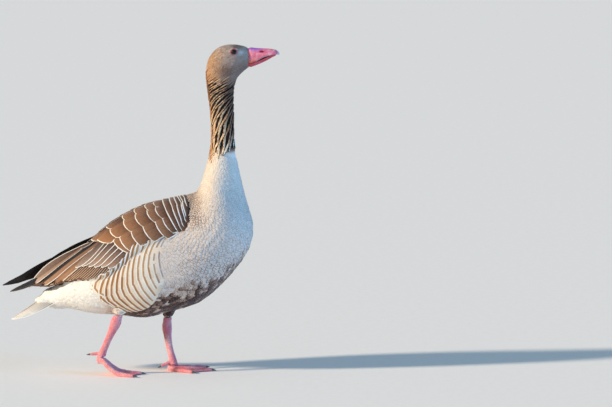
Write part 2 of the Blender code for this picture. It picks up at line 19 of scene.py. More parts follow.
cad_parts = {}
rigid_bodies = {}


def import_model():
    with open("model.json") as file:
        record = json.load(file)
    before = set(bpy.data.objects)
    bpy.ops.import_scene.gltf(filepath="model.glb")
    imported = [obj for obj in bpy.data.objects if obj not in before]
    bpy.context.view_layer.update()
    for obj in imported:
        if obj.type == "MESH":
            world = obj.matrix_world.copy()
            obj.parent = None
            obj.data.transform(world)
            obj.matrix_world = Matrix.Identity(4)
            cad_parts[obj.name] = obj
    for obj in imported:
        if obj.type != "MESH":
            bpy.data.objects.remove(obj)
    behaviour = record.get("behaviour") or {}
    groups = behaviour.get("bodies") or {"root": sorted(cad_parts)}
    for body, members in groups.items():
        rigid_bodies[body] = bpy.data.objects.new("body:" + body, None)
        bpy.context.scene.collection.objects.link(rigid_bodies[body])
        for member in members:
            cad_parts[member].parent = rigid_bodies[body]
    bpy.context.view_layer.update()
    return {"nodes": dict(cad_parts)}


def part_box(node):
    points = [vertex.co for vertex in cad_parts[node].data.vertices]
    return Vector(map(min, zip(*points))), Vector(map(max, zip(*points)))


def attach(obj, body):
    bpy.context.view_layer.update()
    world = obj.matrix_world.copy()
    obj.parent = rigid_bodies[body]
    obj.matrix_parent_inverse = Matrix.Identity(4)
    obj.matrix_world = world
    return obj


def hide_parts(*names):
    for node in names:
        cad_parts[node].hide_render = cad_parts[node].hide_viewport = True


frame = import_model()
solids = frame["nodes"]
MM = 0.001

# %% [markdown]
# ## Camera
# The bird is seen from its right side, from a little above, through a long lens that stands far
# away. Such a lens keeps the bird's proportions true, because near and far parts shrink alike.
# The aim lies ahead of the bird, so that it stands left of the middle with room to look into.

# %% Camera
aim = Vector((0.3373, 0.0, 0.3478))
FRAME_WIDTH = 1.2485
SENSOR = 36.0
distance = 12.0
height_angle = radians(6.0)
camera_data = bpy.data.cameras.new("camera")
camera_data.sensor_width = SENSOR
camera_data.lens = SENSOR * distance / FRAME_WIDTH
camera_data.clip_end = 200.0
camera = bpy.data.objects.new("camera", camera_data)
camera.location = aim + distance * Vector((0.0, -cos(height_angle), sin(height_angle)))
camera.rotation_euler = (pi / 2 - height_angle, 0.0, 0.0)
bpy.context.collection.objects.link(camera)
bpy.context.scene.camera = camera
print("lens:", round(camera_data.lens, 1), "mm at", distance, "m")

# %% [markdown]
# ## Light
# A low warm light from behind the bird's tail shapes the feathers and leaves the breast in shade.
# A very wide cool light from the front keeps that shade open, and a pale world stands for the
# walls of the studio. The wider a lamp, the softer its shadow, as with a large diffuser.

# %% Light
def add_sun(name, toward, strength, colour, width, glints=True):
    """A distant lamp that stands toward a direction; without glints no gloss mirrors it."""
    data = bpy.data.lights.new(name, "SUN")
    data.energy = strength
    data.color = colour
    data.angle = radians(width)
    lamp = bpy.data.objects.new(name, data)
    lamp.rotation_euler = Vector(toward).to_track_quat("Z", "Y").to_euler()
    lamp.visible_glossy = glints
    bpy.context.collection.objects.link(lamp)


add_sun("key_light", (-0.90, -0.33, 0.38), 4.1, (1.0, 0.92, 0.80), 5)
add_sun("fill_light", (0.88, -0.40, 0.12), 4.0, (0.01, 0.37, 1.0), 35, glints=False)
world = bpy.data.worlds.new("studio")
world.use_nodes = True
walls = world.node_tree.nodes["Background"].inputs
walls["Color"].default_value = (0.67, 0.87, 1.0, 1)
walls["Strength"].default_value = 0.33
bpy.context.scene.world = world
bpy.context.scene.view_settings.view_transform = "Standard"
print("lamps:", [o.name for o in bpy.context.scene.objects if o.type == "LIGHT"])

# %% [markdown]
# ## Shader arithmetic
# A material is a graph of nodes. Written as plain arithmetic it is easier to read, so the class
# Value wraps one output of a node, and adding or multiplying values adds the Math nodes that do
# it. The reflected forms let a plain number stand first, as in 1 - mask.

# %% Shader values
class Value:
    """One output of a shader node, which takes part in Python arithmetic."""

    def __init__(self, finish, socket):
        self.finish = finish
        self.socket = socket

    def math(self, operation, first, second=0.0):
        return self.finish.node("ShaderNodeMath", {"operation": operation}, {0: first, 1: second})

    def __add__(self, other):
        return self.math("ADD", self, other)

    def __sub__(self, other):
        return self.math("SUBTRACT", self, other)

    def __mul__(self, other):
        return self.math("MULTIPLY", self, other)

    def __truediv__(self, other):
        return self.math("DIVIDE", self, other)

    def __radd__(self, other):
        return self.math("ADD", other, self)

    def __rsub__(self, other):
        return self.math("SUBTRACT", other, self)

    def __rmul__(self, other):
        return self.math("MULTIPLY", other, self)

    def __abs__(self):
        return self.math("ABSOLUTE", self)

    def sine(self):
        return self.math("SINE", self)


print("shader arithmetic:", [name for name in vars(Value) if name.startswith("__r")])

# %% [markdown]
# ## Finishes
# Horn, bare skin and plumage are all a base colour with fine grain in it and a slightly uneven
# surface. The class Finish is one such material: it makes nodes, mixes colours and plugs results
# into the shader. Noise is read at places on the bird, not on a picture wrapped round it, so the
# grain has its real size on every piece and there is nothing to unwrap.

# %% Finishes
def linear(colour):
    """A screen colour, 0 to 255 per channel, as the linear colour that shaders work in."""
    share = np.array(colour) / 255
    low = share / 12.92
    high = ((share + 0.055) / 1.055) ** 2.4
    return (*np.where(share < 0.04045, low, high), 1.0)


class Finish:
    """One material, with its shader and the nodes that lead to it."""

    def __init__(self, name, **same):
        self.material = bpy.data.materials.new(name)
        self.material.use_nodes = True
        self.tree = self.material.node_tree
        self.shader = self.tree.nodes["Principled BSDF"]
        for socket, value in same.items():
            self.shader.inputs[socket.replace("_", " ").title().replace("Ior", "IOR")].default_value = value

    def node(self, kind, settings=None, inputs=None, output=0):
        node = self.tree.nodes.new(kind)
        for key, value in (settings or {}).items():
            if key == "stops":
                while len(node.color_ramp.elements) < len(value):
                    node.color_ramp.elements.new(0.5)
                for element, (place, colour) in zip(node.color_ramp.elements, value):
                    element.position = place
                    element.color = linear(colour)
            else:
                setattr(node, key, value)
        for key, value in (inputs or {}).items():
            self.plug(node.inputs[key], value)
        return Value(self, node.outputs[output])

    def plug(self, socket, value):
        if isinstance(value, Value):
            self.tree.links.new(value.socket, socket)
        else:
            socket.default_value = value

    def attribute(self, name):
        return self.node("ShaderNodeAttribute", {"attribute_name": name}, output="Vector")

    def parts(self, vector):
        split = self.node("ShaderNodeSeparateXYZ", {}, {0: vector})
        return [Value(self, socket) for socket in split.socket.node.outputs]

    def place(self):
        return self.node("ShaderNodeTexCoord", output="Object")

    def stretched(self, stretch):
        return self.node("ShaderNodeMapping", {}, {0: self.place(), "Scale": stretch})

    def noise(self, scale, detail=2.0, stretch=None):
        at = self.stretched(stretch) if stretch else self.place()
        return self.node("ShaderNodeTexNoise", {}, {"Vector": at, "Scale": scale, "Detail": detail})

    def mix(self, share, first, second):
        """A colour that goes from first to second; both may be values or screen colours."""
        first, second = (linear(c) if isinstance(c, tuple) else c for c in (first, second))
        settings = {"data_type": "RGBA", "clamp_factor": True}
        return self.node("ShaderNodeMix", settings, {0: share, 6: first, 7: second}, output=2)

    def ramp(self, share, *stops):
        """A colour that runs through stops, each a place from 0 to 1 and a screen colour."""
        return self.node("ShaderNodeValToRGB", {"stops": stops}, {0: share})

    def step(self, value, low, high):
        """0 below low and 1 above high, with a smooth rise between them; low may be the larger."""
        settings = {"interpolation_type": "SMOOTHSTEP"}
        ends = (0.0, 1.0) if low < high else (1.0, 0.0)
        inputs = {0: value, 1: min(low, high), 2: max(low, high), 3: ends[0], 4: ends[1]}
        return self.node("ShaderNodeMapRange", settings, inputs)

    def colour(self, value):
        self.plug(self.shader.inputs["Base Color"], value)

    def bump(self, height, depth, strength=1.0):
        inputs = {"Height": height, "Distance": depth, "Strength": strength}
        self.plug(self.shader.inputs["Normal"], self.node("ShaderNodeBump", {}, inputs))

    def speckle(self, scale, dark, light, detail=2.0, stretch=None):
        """The plainest finish: noise that runs between two close colours."""
        self.colour(self.ramp(self.noise(scale, detail, stretch), (0.3, dark), (0.7, light)))


print("a finish can:", [name for name in vars(Finish) if not name.startswith("_")])

# %% [markdown]
# ## Floor
# The floor is a plain pale sheet that reaches beyond the camera's view. It starts as a grid and
# its noise is so faint that only the soft shadow of the bird shows on it.

# %% Floor
def placed(name, mesh, finish):
    """An object in the scene that shows a finished mesh in its material."""
    mesh.materials.append(finish.material)
    piece = bpy.data.objects.new(name, mesh)
    bpy.context.collection.objects.link(piece)
    return piece


def add_piece(name, bm, finish, smooth=True):
    """Turns a bmesh into an object in the scene."""
    mesh = bpy.data.meshes.new(name)
    bm.to_mesh(mesh)
    bm.free()
    if smooth:
        mesh.shade_smooth()
    return placed(name, mesh, finish)


pale_floor = Finish("pale_floor", roughness=0.9)
pale_floor.speckle(60.0, (252, 240, 228), (254, 243, 232))
sheet = bmesh.new()
bmesh.ops.create_grid(sheet, x_segments=8, y_segments=8, size=45.0)
floor = add_piece("floor", sheet, pale_floor, smooth=False)
print("floor:", [round(v, 1) for v in floor.dimensions])

# %% [markdown]
# ## The skin
# The solids of rump, trunk, breast, neck, head, thighs and wings show the outside of the coat.
# A voxel remesh melts copies of them into one closed surface without seams, and smoothing takes
# away its steps. The eyes go in too, so that no pit is left there, and so do three soft mounds
# that lead from the rump to the tail. Then each point sinks by the depth of the coat there: deep
# on the trunk, thin on the face. The feathers will fill that depth again.

# %% Skin
EYES = ("eye_left", "eye_right")
FLESH = ("rump", "trunk", "breast", "neck_lower", "neck_upper", "head", "thigh_left", "thigh_right")
WINGS = ("wing_left", "wing_right")
TAIL_MOUNDS = (
    # place and radii
    ((-174, 0, 158), (30, 26, 21)), ((-192, 0, 150), (27, 24, 10)), ((-166, 0, 143), (32, 25, 12)),
)
BODY_VOXEL = 2.4 * MM


def melted(names, voxel, mounds=()):
    """One closed surface round copies of several solids, with soft mounds (place, radii) added."""
    bm = bmesh.new()
    for name in names:
        bm.from_mesh(solids[name].data)
    for place, radii in mounds:
        shape = Matrix.Translation(Vector(place) * MM) @ Matrix.Diagonal((*(Vector(radii) * MM), 1))
        bmesh.ops.create_icosphere(bm, subdivisions=3, radius=1.0, matrix=shape)
    bmesh.ops.remove_doubles(bm, verts=bm.verts[:], dist=1e-6)
    mesh = bpy.data.meshes.new("melt")
    bm.to_mesh(mesh)
    bm.free()
    source = bpy.data.objects.new("melt", mesh)
    bpy.context.collection.objects.link(source)
    remesh = source.modifiers.new("remesh", "REMESH")
    remesh.mode = "VOXEL"
    remesh.voxel_size = voxel
    bpy.context.view_layer.update()
    result = source.evaluated_get(bpy.context.evaluated_depsgraph_get()).to_mesh()
    bm = bmesh.new()
    bm.from_mesh(result)
    bpy.data.objects.remove(source)
    return bm


def smoothed(bm, times):
    for _ in range(times):
        bmesh.ops.smooth_vert(
            bm, verts=bm.verts[:], factor=0.5, use_axis_x=True, use_axis_y=True, use_axis_z=True
        )


def coat_depth(x, z):
    """How deep the feathers lie over the skin, in metres."""
    depth = np.interp(z, (0.30, 0.42, 0.50, 0.60, 0.64), (3.2, 2.6, 1.8, 1.4, 0.8))
    return depth * np.interp(x, (0.20, 0.222), (1.0, 0.75)) * MM


skin_mesh = melted(FLESH + WINGS + EYES, BODY_VOXEL, TAIL_MOUNDS)
smoothed(skin_mesh, 5)
skin_mesh.normal_update()
for vert in skin_mesh.verts:
    vert.co -= vert.normal * float(coat_depth(vert.co.x, vert.co.z))
smoothed(skin_mesh, 2)
guide = BVHTree.FromBMesh(skin_mesh)
print("skin:", len(skin_mesh.verts), "points,", len(skin_mesh.faces) * 2, "triangles")

# %% [markdown]
# ## Lines across the body
# Feathers grow in rows round the body, so each root needs an address: how far along the bird it
# is, and at which angle round it. The way along the bird bends from the level body up into the
# neck, so it is given by straight lines across the bird, each from the back to the underside.
# Smooth curves through their ends give as many lines between them as the rows need.

# %% Lines across the body
Across = namedtuple("Across", "place back under")
# back and under are the ends of each line, as x and z in millimetres.
ACROSS = (
    Across("tail coverts", (-207, 150), (-203, 141)),
    Across("tail root", (-188, 169), (-184, 138)),
    Across("rump", (-98, 262), (-98, 122)),
    Across("back", (10, 336), (10, 113)),
    Across("shoulders", (60, 350), (60, 126)),
    Across("keel", (88, 359), (118, 143)),
    Across("crop", (107, 368), (178, 194)),
    Across("breast", (119, 382), (222, 256)),
    Across("neck base", (126, 401), (230, 303)),
    Across("neck foot", (131, 419), (219, 345)),
    Across("low neck", (136, 438), (207, 390)),
    Across("mid neck", (144, 488), (192, 486)),
    Across("upper neck", (136, 588), (192, 580)),
    Across("throat", (134, 612), (195, 598)),
    Across("nape", (139, 646), (204, 612)),
    Across("back of head", (150, 660), (209, 617)),
    Across("crown", (181, 673), (217, 624)),
    Across("brow", (196, 673), (221, 627)),
    Across("bill base", (220.5, 667), (224.5, 628)),
)
ALONG = 420


def distances(points):
    """How far along a line each of its points lies."""
    return np.concatenate([[0], np.cumsum(np.linalg.norm(np.diff(points, axis=0), axis=1))])


def smooth_rows(keys, rows, at):
    """Values between rows of numbers, on curves that run smoothly through them."""
    rows = np.asarray(rows, float)
    slopes = np.gradient(rows, keys, axis=0)
    i = np.clip(np.searchsorted(keys, at) - 1, 0, len(keys) - 2)
    width = (keys[i + 1] - keys[i])[:, None]
    t = (at - keys[i])[:, None] / width
    first = (1 + 2 * t) * (1 - t) ** 2 * rows[i] + t * (1 - t) ** 2 * width * slopes[i]
    return first + t**2 * (3 - 2 * t) * rows[i + 1] + t**2 * (t - 1) * width * slopes[i + 1]


ends = np.array([(*line.back, *line.under) for line in ACROSS], float) * MM
stations = distances((ends[:, :2] + ends[:, 2:]) / 2)
station_of = {line.place: station for line, station in zip(ACROSS, stations)}
chart_keys = np.linspace(0, stations[-1], ALONG)
lines = smooth_rows(stations, ends, chart_keys)
print("lines across the body:", len(lines), "over", round(stations[-1], 3), "m")

# %% [markdown]
# ## A chart of the body
# The chart is a table of points of the skin, one for each address. From every line a ray goes out
# at every angle until it meets the skin. Casting a few ten thousand rays takes a second, and from
# then on an address becomes a place by looking between its four neighbours in the table.

# %% Chart
ROUND = 120
angles = np.linspace(-180, 180, ROUND + 1)
chart = np.zeros((ALONG, ROUND + 1, 3))
for i, (back_x, back_z, under_x, under_z) in enumerate(lines):
    back, under = Vector((back_x, 0, back_z)), Vector((under_x, 0, under_z))
    centre = under.lerp(back, 0.48)
    up = (back - under).normalized()
    for j, angle in enumerate(angles):
        toward = Vector((0, cos(radians(angle)), 0)) + up * sin(radians(angle))
        hit = guide.ray_cast(centre, toward, 200 * MM)[0]
        chart[i, j] = hit if hit else centre + toward * (20 * MM)


def at_address(station, angle):
    """Points of the skin at addresses: stations in metres, angles 90 on the back, 0 on the left."""
    row = np.clip(np.asarray(station) / chart_keys[1], 0, ALONG - 1.001)
    column = (np.asarray(angle) + 180) % 360 / 360 * ROUND
    i, j = row.astype(int), column.astype(int)
    u, v = (row - i)[:, None], (column - j)[:, None]
    low = chart[i, j] * (1 - v) + chart[i, j + 1] * v
    high = chart[i + 1, j] * (1 - v) + chart[i + 1, j + 1] * v
    return low * (1 - u) + high * u


print("chart:", chart.shape)

# %% [markdown]
# ## The shape of a feather
# Each small feather is a thin closed blade: a grid for the top, a copy of it for the underside,
# both joined at their rims. Its outline is a share of the width at each share of the length, and
# the tip's grid lines bow, so that the end is round. Columns crowd towards the sides, where the
# pale edge of a feather lies.

# %% Feather shapes
Blade = namedtuple("Blade", "across along under faces rim outline bow")


def blade_shape(columns, rows, outline, bow):
    """The plan of a feather: points from side to side (-1 to 1) and root to tip (0 to 1)."""
    bm = bmesh.new()
    bmesh.ops.create_grid(bm, x_segments=columns, y_segments=rows, size=1.0)
    rim = {vert for edge in bm.edges if edge.is_boundary for vert in edge.verts}
    inner = [vert for vert in bm.verts if vert not in rim]
    copy = bmesh.ops.duplicate(bm, geom=bm.verts[:] + bm.edges[:] + bm.faces[:])
    twins = {copy["vert_map"][vert] for vert in inner}
    turned = [item for item in copy["geom"] if isinstance(item, bmesh.types.BMFace)]
    bmesh.ops.reverse_faces(bm, faces=turned)
    for vert in twins:
        vert.co.z = -1.0
    bmesh.ops.remove_doubles(bm, verts=bm.verts[:], dist=1e-4)
    bm.verts.index_update()
    points = np.array([vert.co for vert in bm.verts])
    faces = np.array([[vert.index for vert in face.verts] for face in bm.faces])
    bm.free()
    across = np.sign(points[:, 0]) * abs(points[:, 0]) ** 0.8
    along = (points[:, 1] + 1) / 2
    under = points[:, 2] < -0.5
    rim = (abs(points[:, 0]) > 0.999) | (abs(points[:, 1]) > 0.999)
    return Blade(across, along, under, faces, rim, outline, bow)


ROUND_TIP = ((0, 0.25, 0.55, 0.8, 0.93, 1), (0.42, 0.86, 1.0, 0.95, 0.78, 0.5))
POINTED_TIP = ((0, 0.25, 0.5, 0.75, 0.9, 1), (0.45, 0.9, 1.0, 0.78, 0.45, 0.12))
SQUARE_TIP = ((0, 0.2, 0.5, 0.85, 0.95, 1), (0.4, 0.85, 1.0, 1.0, 0.96, 0.84))
RIDGE_TIP = ((0, 0.2, 0.6, 0.85, 1), (0.7, 1.0, 0.95, 0.7, 0.3))
tuft = blade_shape(2, 3, POINTED_TIP, 0.1)
small_vane = blade_shape(4, 5, ROUND_TIP, 0.28)
wide_vane = blade_shape(6, 9, SQUARE_TIP, 0.12)
bar_vane = blade_shape(6, 9, SQUARE_TIP, 0.035)
ridge_vane = blade_shape(4, 5, RIDGE_TIP, 0.1)
print("faces:", len(tuft.faces), len(small_vane.faces), len(wide_vane.faces))

# %% [markdown]
# ## What a feather carries
# Thousands of feathers are joined in one mesh, because an object for each would be far too slow.
# So every point has to carry what the shader needs to know: where in its own feather it lies, and
# how dark, warm and barred that feather is. Blender keeps such numbers as attributes of the mesh.
# Each feather also has its own patch of a UV map, named OFBake, for baking its colours.

# %% Feather meshes
def built_mesh(name, points, faces, rim):
    """A mesh from arrays, smooth apart from the rims of its feathers."""
    mesh = bpy.data.meshes.new(name)
    mesh.from_pydata(points, [], faces)
    mesh.shade_smooth()
    ends = np.zeros(len(mesh.edges) * 2, int)
    mesh.edges.foreach_get("vertices", ends)
    sharp = mesh.attributes.new("sharp_edge", "BOOLEAN", "EDGE")
    sharp.data.foreach_set("value", rim[ends].reshape(-1, 2).all(axis=1))
    return mesh


def add_vectors(mesh, name, rows):
    layer = mesh.attributes.new(name, "FLOAT_VECTOR", "POINT")
    layer.data.foreach_set("vector", np.asarray(rows, np.float32).ravel())


def add_patches(mesh, patches):
    """The UV map OFBake, for baking colours on: a small patch for each feather."""
    corners = np.zeros(len(mesh.loops), int)
    mesh.loops.foreach_get("vertex_index", corners)
    layer = mesh.uv_layers.new(name="OFBake")
    layer.data.foreach_set("uv", np.asarray(patches, np.float32)[corners].ravel())


print("attributes: own, plume and marks, and the UV map OFBake")

# %% [markdown]
# ## Laying feathers
# A coat is many copies of one blade. For each root the blade is stretched to its length and
# width, turned to its direction and dropped on the skin, point by point, so that it follows every
# curve. The tip stands a little higher than the root, and so each feather covers the next.

# %% Laying feathers
# low and high are the heights of root and tip over the skin. arch is how far the middle line
# rises, as a share of the width. edge says which rims are pale, and how wide in millimetres.
Coat = namedtuple(
    "Coat", "place way length width low high looks patch arch edge", defaults=(0.05, ("all", 0.9))
)
PATCH = 0.003


def snapped(points):
    """The nearest points of the skin, and the skin's direction there."""
    flat = points.reshape(-1, 3)
    near, facing = np.empty_like(flat), np.empty_like(flat)
    for i, point in enumerate(flat.tolist()):
        near[i], facing[i] = guide.find_nearest(point)[:2]
    return near.reshape(points.shape), facing.reshape(points.shape)


def unit(vectors):
    return vectors / np.maximum(np.linalg.norm(vectors, axis=-1, keepdims=True), 1e-9)


def rim_distance(edge, side_gap, tip_gap, lower):
    """How many rim widths a point lies from its feather's rim: ("tip", 2.0) is a 2 mm rim there."""
    kind, rim_width = edge
    open_gap = np.where(lower, side_gap, 50 * MM)
    gaps = {
        "sides": side_gap, "tip": tip_gap, "open": np.minimum(tip_gap, open_gap),
        "all": np.minimum(side_gap, tip_gap),
    }
    return gaps[kind] / (rim_width * MM)


def feather_points(blade, coat):
    """Every point of every feather, with its place in its own feather in millimetres."""
    _, facing = snapped(coat.place)
    way = unit(coat.way - facing * (coat.way * facing).sum(-1, keepdims=True))
    side = np.cross(facing, way)
    half = np.interp(blade.along, *blade.outline) / 2
    across = coat.width[:, None] * (blade.across * half)
    along = coat.length[:, None] * blade.along
    along = along - coat.width[:, None] * (blade.bow * blade.across**2 * blade.along**4)
    flat = coat.place[:, None] + way[:, None] * along[..., None] + side[:, None] * across[..., None]
    near, normal = snapped(flat)
    arch = 1 - blade.across**2
    thick = np.minimum(0.25 * MM, coat.width * 0.05)[:, None]
    height = coat.low[:, None] + (coat.high - coat.low)[:, None] * blade.along
    height = height + coat.width[:, None] * coat.arch * arch - thick * blade.under
    side_gap = coat.width[:, None] * half * (1 - abs(blade.across))
    tip_gap = coat.length[:, None] * (1 - blade.along)
    gap = rim_distance(coat.edge, side_gap, tip_gap, across > 0)
    own = np.stack([across / MM, along / MM, gap], -1)
    return near + normal * height[..., None], own


def lay_coat(name, blade, coat, finish):
    """One piece of coat: a joined mesh with all its feathers."""
    points, own = feather_points(blade, coat)
    count, size = points.shape[:2]
    faces = (blade.faces[None] + np.arange(count)[:, None, None] * size).reshape(-1, 4)
    mesh = built_mesh(name, points.reshape(-1, 3), faces, np.tile(blade.rim, count))
    add_vectors(mesh, "own", own)
    add_vectors(mesh, "plume", np.repeat(coat.looks[:, :3], size, axis=0))
    add_vectors(mesh, "marks", np.repeat(coat.looks[:, 3:6], size, axis=0))
    local = np.stack([blade.across, blade.along * 2 - 1], -1) * PATCH / 2
    add_patches(mesh, (coat.patch[:, None] + local[None]).reshape(-1, 2))
    print(f"{name}: {count} feathers, {len(faces) * 2} triangles")
    return placed(name, mesh, finish)


print("a coat is described by:", Coat._fields)

# %% [markdown]
# ## The colours of the plumage
# A greylag wears few colours: white, pinkish buff, grey-brown and nearly black. So the coat stores
# only how dark and how warm each feather is, and one finish turns these into colours with two
# ramps. Inside a feather the same finish adds the pale or dark rim, the bar behind it, the fine
# barbs that run out from the shaft, and a faint mottling. The skin wears the same finish.

# %% Plumage finish
COOL = (
    (0, (243, 239, 232)), (0.25, (212, 197, 186)), (0.5, (146, 126, 114)), (0.75, (80, 64, 58)),
    (1, (17, 15, 17)),
)
WARM = (
    (0, (247, 236, 217)), (0.25, (233, 197, 153)), (0.5, (170, 112, 64)), (0.75, (100, 59, 34)),
    (1, (30, 18, 12)),
)


def plumage_finish(name, barb, gloss=0.75, feathered=True, shaft=0.0, ribbed=0.35):
    """Feathers whose barbs are barb millimetres apart; shaft is how dark the middle line is."""
    finish = Finish(name, roughness=gloss, specular_ior_level=0.25, sheen_weight=0.12, sheen_roughness=0.5)
    shade, warmth, rim_shade = finish.parts(finish.attribute("plume"))
    bars, chance, deep = finish.parts(finish.attribute("marks"))
    mottle = finish.noise(230.0, 3.0) - 0.5
    shade = shade + mottle * 0.14 + (chance - 0.5) * 0.08
    if feathered:
        across, along, gap = finish.parts(finish.attribute("own"))
        slant = along - abs(across) * 0.8 + finish.noise(500.0, 1.0) * 0.8
        barbs = (slant * (2 * pi / barb)).sine()
        band = finish.step(gap, 0.95, 1.25) * finish.step(gap, 3.1, 2.5)
        shade = shade + bars * band + deep * finish.step(across, 1.5, -2.5) + barbs * 0.02
        shade = shade + finish.step(abs(across), 0.8, 0.3) * shaft
        rim = finish.step(gap + barbs * 0.1, 1.15, 0.8)
        shade = shade + rim * (rim_shade - shade)
        finish.bump(barbs * 0.5 + mottle, 0.0004, ribbed)
    else:
        finish.bump(mottle, 0.0008, 0.5)
    finish.colour(finish.mix(warmth, finish.ramp(shade, *COOL), finish.ramp(shade, *WARM)))
    return finish


soft_plumage = plumage_finish("soft_plumage", 1.1)
skin_plumage = plumage_finish("skin_plumage", 1.0, feathered=False)
print("finishes:", [m.name for m in bpy.data.materials if "plumage" in m.name])

# %% [markdown]
# ## The folded wing's outline
# The folded wing lies along the body like half a leaf, and the body's coat ends where it starts.
# Its sections are half ovals, given here at a few places along the bird, so a place on the skin
# belongs to the wing when its angle round that oval is above the wing's lower edge.

# %% Wing outline
WING_LINES = np.array([
    # x, centre height, height above it, half width, angle of the lower edge
    (-226, 176.6, 11.0, 20.5, 0), (-185, 172.7, 43.3, 41, 6), (-145, 184.8, 59.2, 60, 6),
    (-100, 192.5, 83.5, 81, 4), (-66, 204.7, 101.3, 92, 2), (-30, 214.8, 113.7, 98.5, 13),
    (10, 218.8, 127.7, 101.5, 24), (60, 231.3, 127.2, 99.5, 29), (80, 241.6, 121.2, 97, 35),
    (88, 245.7, 118.8, 96, 45), (94, 251.9, 113.4, 93, 95), (100, 258, 108, 90, 95), (108, 262, 106, 88, 95),
])


def wing_section(x):
    """Centre height, height above it and half width of the wing's oval, in millimetres."""
    return (np.interp(x, WING_LINES[:, 0], WING_LINES[:, column]) for column in (1, 2, 3))


def wing_angle(place):
    """The angle round the wing's own section, from 0 at its widest to 90 on the back."""
    x, y, z = place.T / MM
    centre, above, width = wing_section(x)
    return np.degrees(np.arctan2((z - centre) / above, abs(y) / width))


def above_wing_edge(place):
    """How many degrees a place lies above the lower edge of the folded wing."""
    edge = np.interp(place[:, 0] / MM, WING_LINES[:, 0], WING_LINES[:, 4], left=95, right=95)
    return wing_angle(place) - edge


print("wing sections:", len(WING_LINES))

# %% [markdown]
# ## Where each colour lies
# The markings are worked out from the place on the bird: white under the tail, pale breast, dark
# blotches low on the belly that run into painted shade of the underside, grey-brown head with
# painted shade and light on it, warm nape. Each region is painted over the ones before it, by a
# share that fades to nothing at the region's border. Places are in millimetres.

# %% Markings
def fade(value, low, high):
    """0 at low and 1 at high, with a smooth rise between them."""
    share = np.clip((value - low) / (high - low), 0, 1)
    return share * share * (3 - 2 * share)


def patchy(place, scale, offset=0.0):
    """A soft random pattern over the bird, between about -1 and 1."""
    return np.array([noise.noise(Vector(p) * scale + Vector((offset, 0, 0))) for p in place])


def blend_to(values, goal, share):
    """Moves values towards a goal by a share, in place."""
    values += (goal - values) * share


# The upper border of the blotches and the painted shade below them, as distances along the bird and heights.
BLOTCH_AND_SHADE_TOP = ((-34, -12, 21, 79, 127, 170, 199, 215), (112, 146, 172, 188, 202, 224, 246, 262))


def markings(place):
    """How dark and warm the plumage is at each place, its rims, its bars, how feathers differ."""
    x, _, z = place.T / MM
    plain = {"shade": 0.22, "warmth": 0.32, "rim": 0.10, "bars": 0.12, "differ": 0.7}
    layers = {name: np.full(len(x), value) for name, value in plain.items()}

    def paint(share, **goals):
        for name, goal in goals.items():
            blend_to(layers[name], goal, share)

    def add(share, **amounts):
        for name, amount in amounts.items():
            layers[name] += amount * share

    def spot(centre_x, centre_z, length, height):
        return np.exp(-((x - centre_x) / length) ** 2 - ((z - centre_z) / height) ** 2)

    neck = fade(z, 330, 430)
    low_breast = fade(-z, -310, -200) * fade(x, 60, 140)
    paint(neck, shade=0.16, warmth=0.46, bars=0.07)
    add(low_breast, shade=0.05, bars=0.14)
    # Below the border the bird's black blotches grow denser the lower they lie, until the underside is dark
    # all over: painted shade of the underside.
    zone = np.interp(x, *BLOTCH_AND_SHADE_TOP) - z
    blotches_and_shade = fade(patchy(place, 95.0, 5.0) + 0.58 * fade(zone, 0, 36), -0.3, 0.75) * fade(zone, -12, 10)
    blotches_and_shade *= fade(x, -40, -12) * (1 - 0.35 * fade(x, 110, 200))
    shoulder = fade(z, 300, 340) * fade(-z, -400, -362) * fade(-x, -140, -112)
    white = fade(-x, 44, 66)
    furrows = fade(z, 452, 482)
    paint(blotches_and_shade, shade=0.84, rim=0.60, warmth=0.42, differ=1.6)
    paint(shoulder, shade=0.37, rim=0.08, bars=0.30)
    paint(white, shade=0.03, rim=0.0, warmth=0.45, bars=0.02, differ=0.2)
    paint(furrows, shade=0.58, rim=0.5)
    nape_line = np.interp(z, (440, 612, 640, 665), (136, 134, 140, 158))
    front_line = np.interp(z, (440, 480, 580, 600, 612, 625), (200, 192, 192, 200, 222, 230))
    share = np.clip((x - nape_line) / (front_line - nape_line), 0, 1)
    head = fade(z + 14 * (1 - share), 596, 616)
    speckled = 0.61 + 0.10 * patchy(place, 28.0) + 0.46 * patchy(place, 190.0, 9.0)
    # Cheek, chin and forehead are painted darker, shade on the parts of the head turned from the light,
    # cooler on the chin. The crown is painted lighter, light on the top of the head, and the lores paler, a
    # painted sheen.
    shaded_cheek, shaded_forehead, lores_sheen = spot(178, 622, 16, 12), spot(200, 669, 10, 4), spot(208, 657, 5, 4)
    shaded_chin = fade(share, 0.5, 0.85) * fade(-z, -650, -625)
    crown = fade(z, 652, 668)
    paint(head, shade=speckled, warmth=0.30, rim=0.42, bars=0.0, differ=5.0)
    add(head * shaded_cheek, shade=0.22, rim=0.16)
    add(head * shaded_chin, warmth=-0.15, shade=0.16, rim=0.14)
    add(head * crown, shade=-0.20)
    add(head * shaded_forehead, shade=0.20, rim=0.22)
    add(head * lores_sheen, rim=-0.20, shade=-0.30, warmth=-0.2)
    nape = fade(-share, -0.45, -0.05) * fade(z, 428, 470) * fade(-z, -676, -640)
    paint(nape * 0.9, warmth=0.95)
    paint(nape * 0.75, shade=0.56)
    return layers


print("blotches reach from x", BLOTCH_AND_SHADE_TOP[0][0], "to", BLOTCH_AND_SHADE_TOP[0][-1])

# %% [markdown]
# ## The skin's colours
# The skin shows only in gaps between feathers and where the wing's feathers cover it, so it wears
# the colours of the coat above it, turns dark under the wing, and is painted black in the furrows of
# the neck, their shade.
# A chance number, drawn for every feather and every point, makes neighbours differ a little.

# %% Skin colours
random_numbers = np.random.default_rng(11)


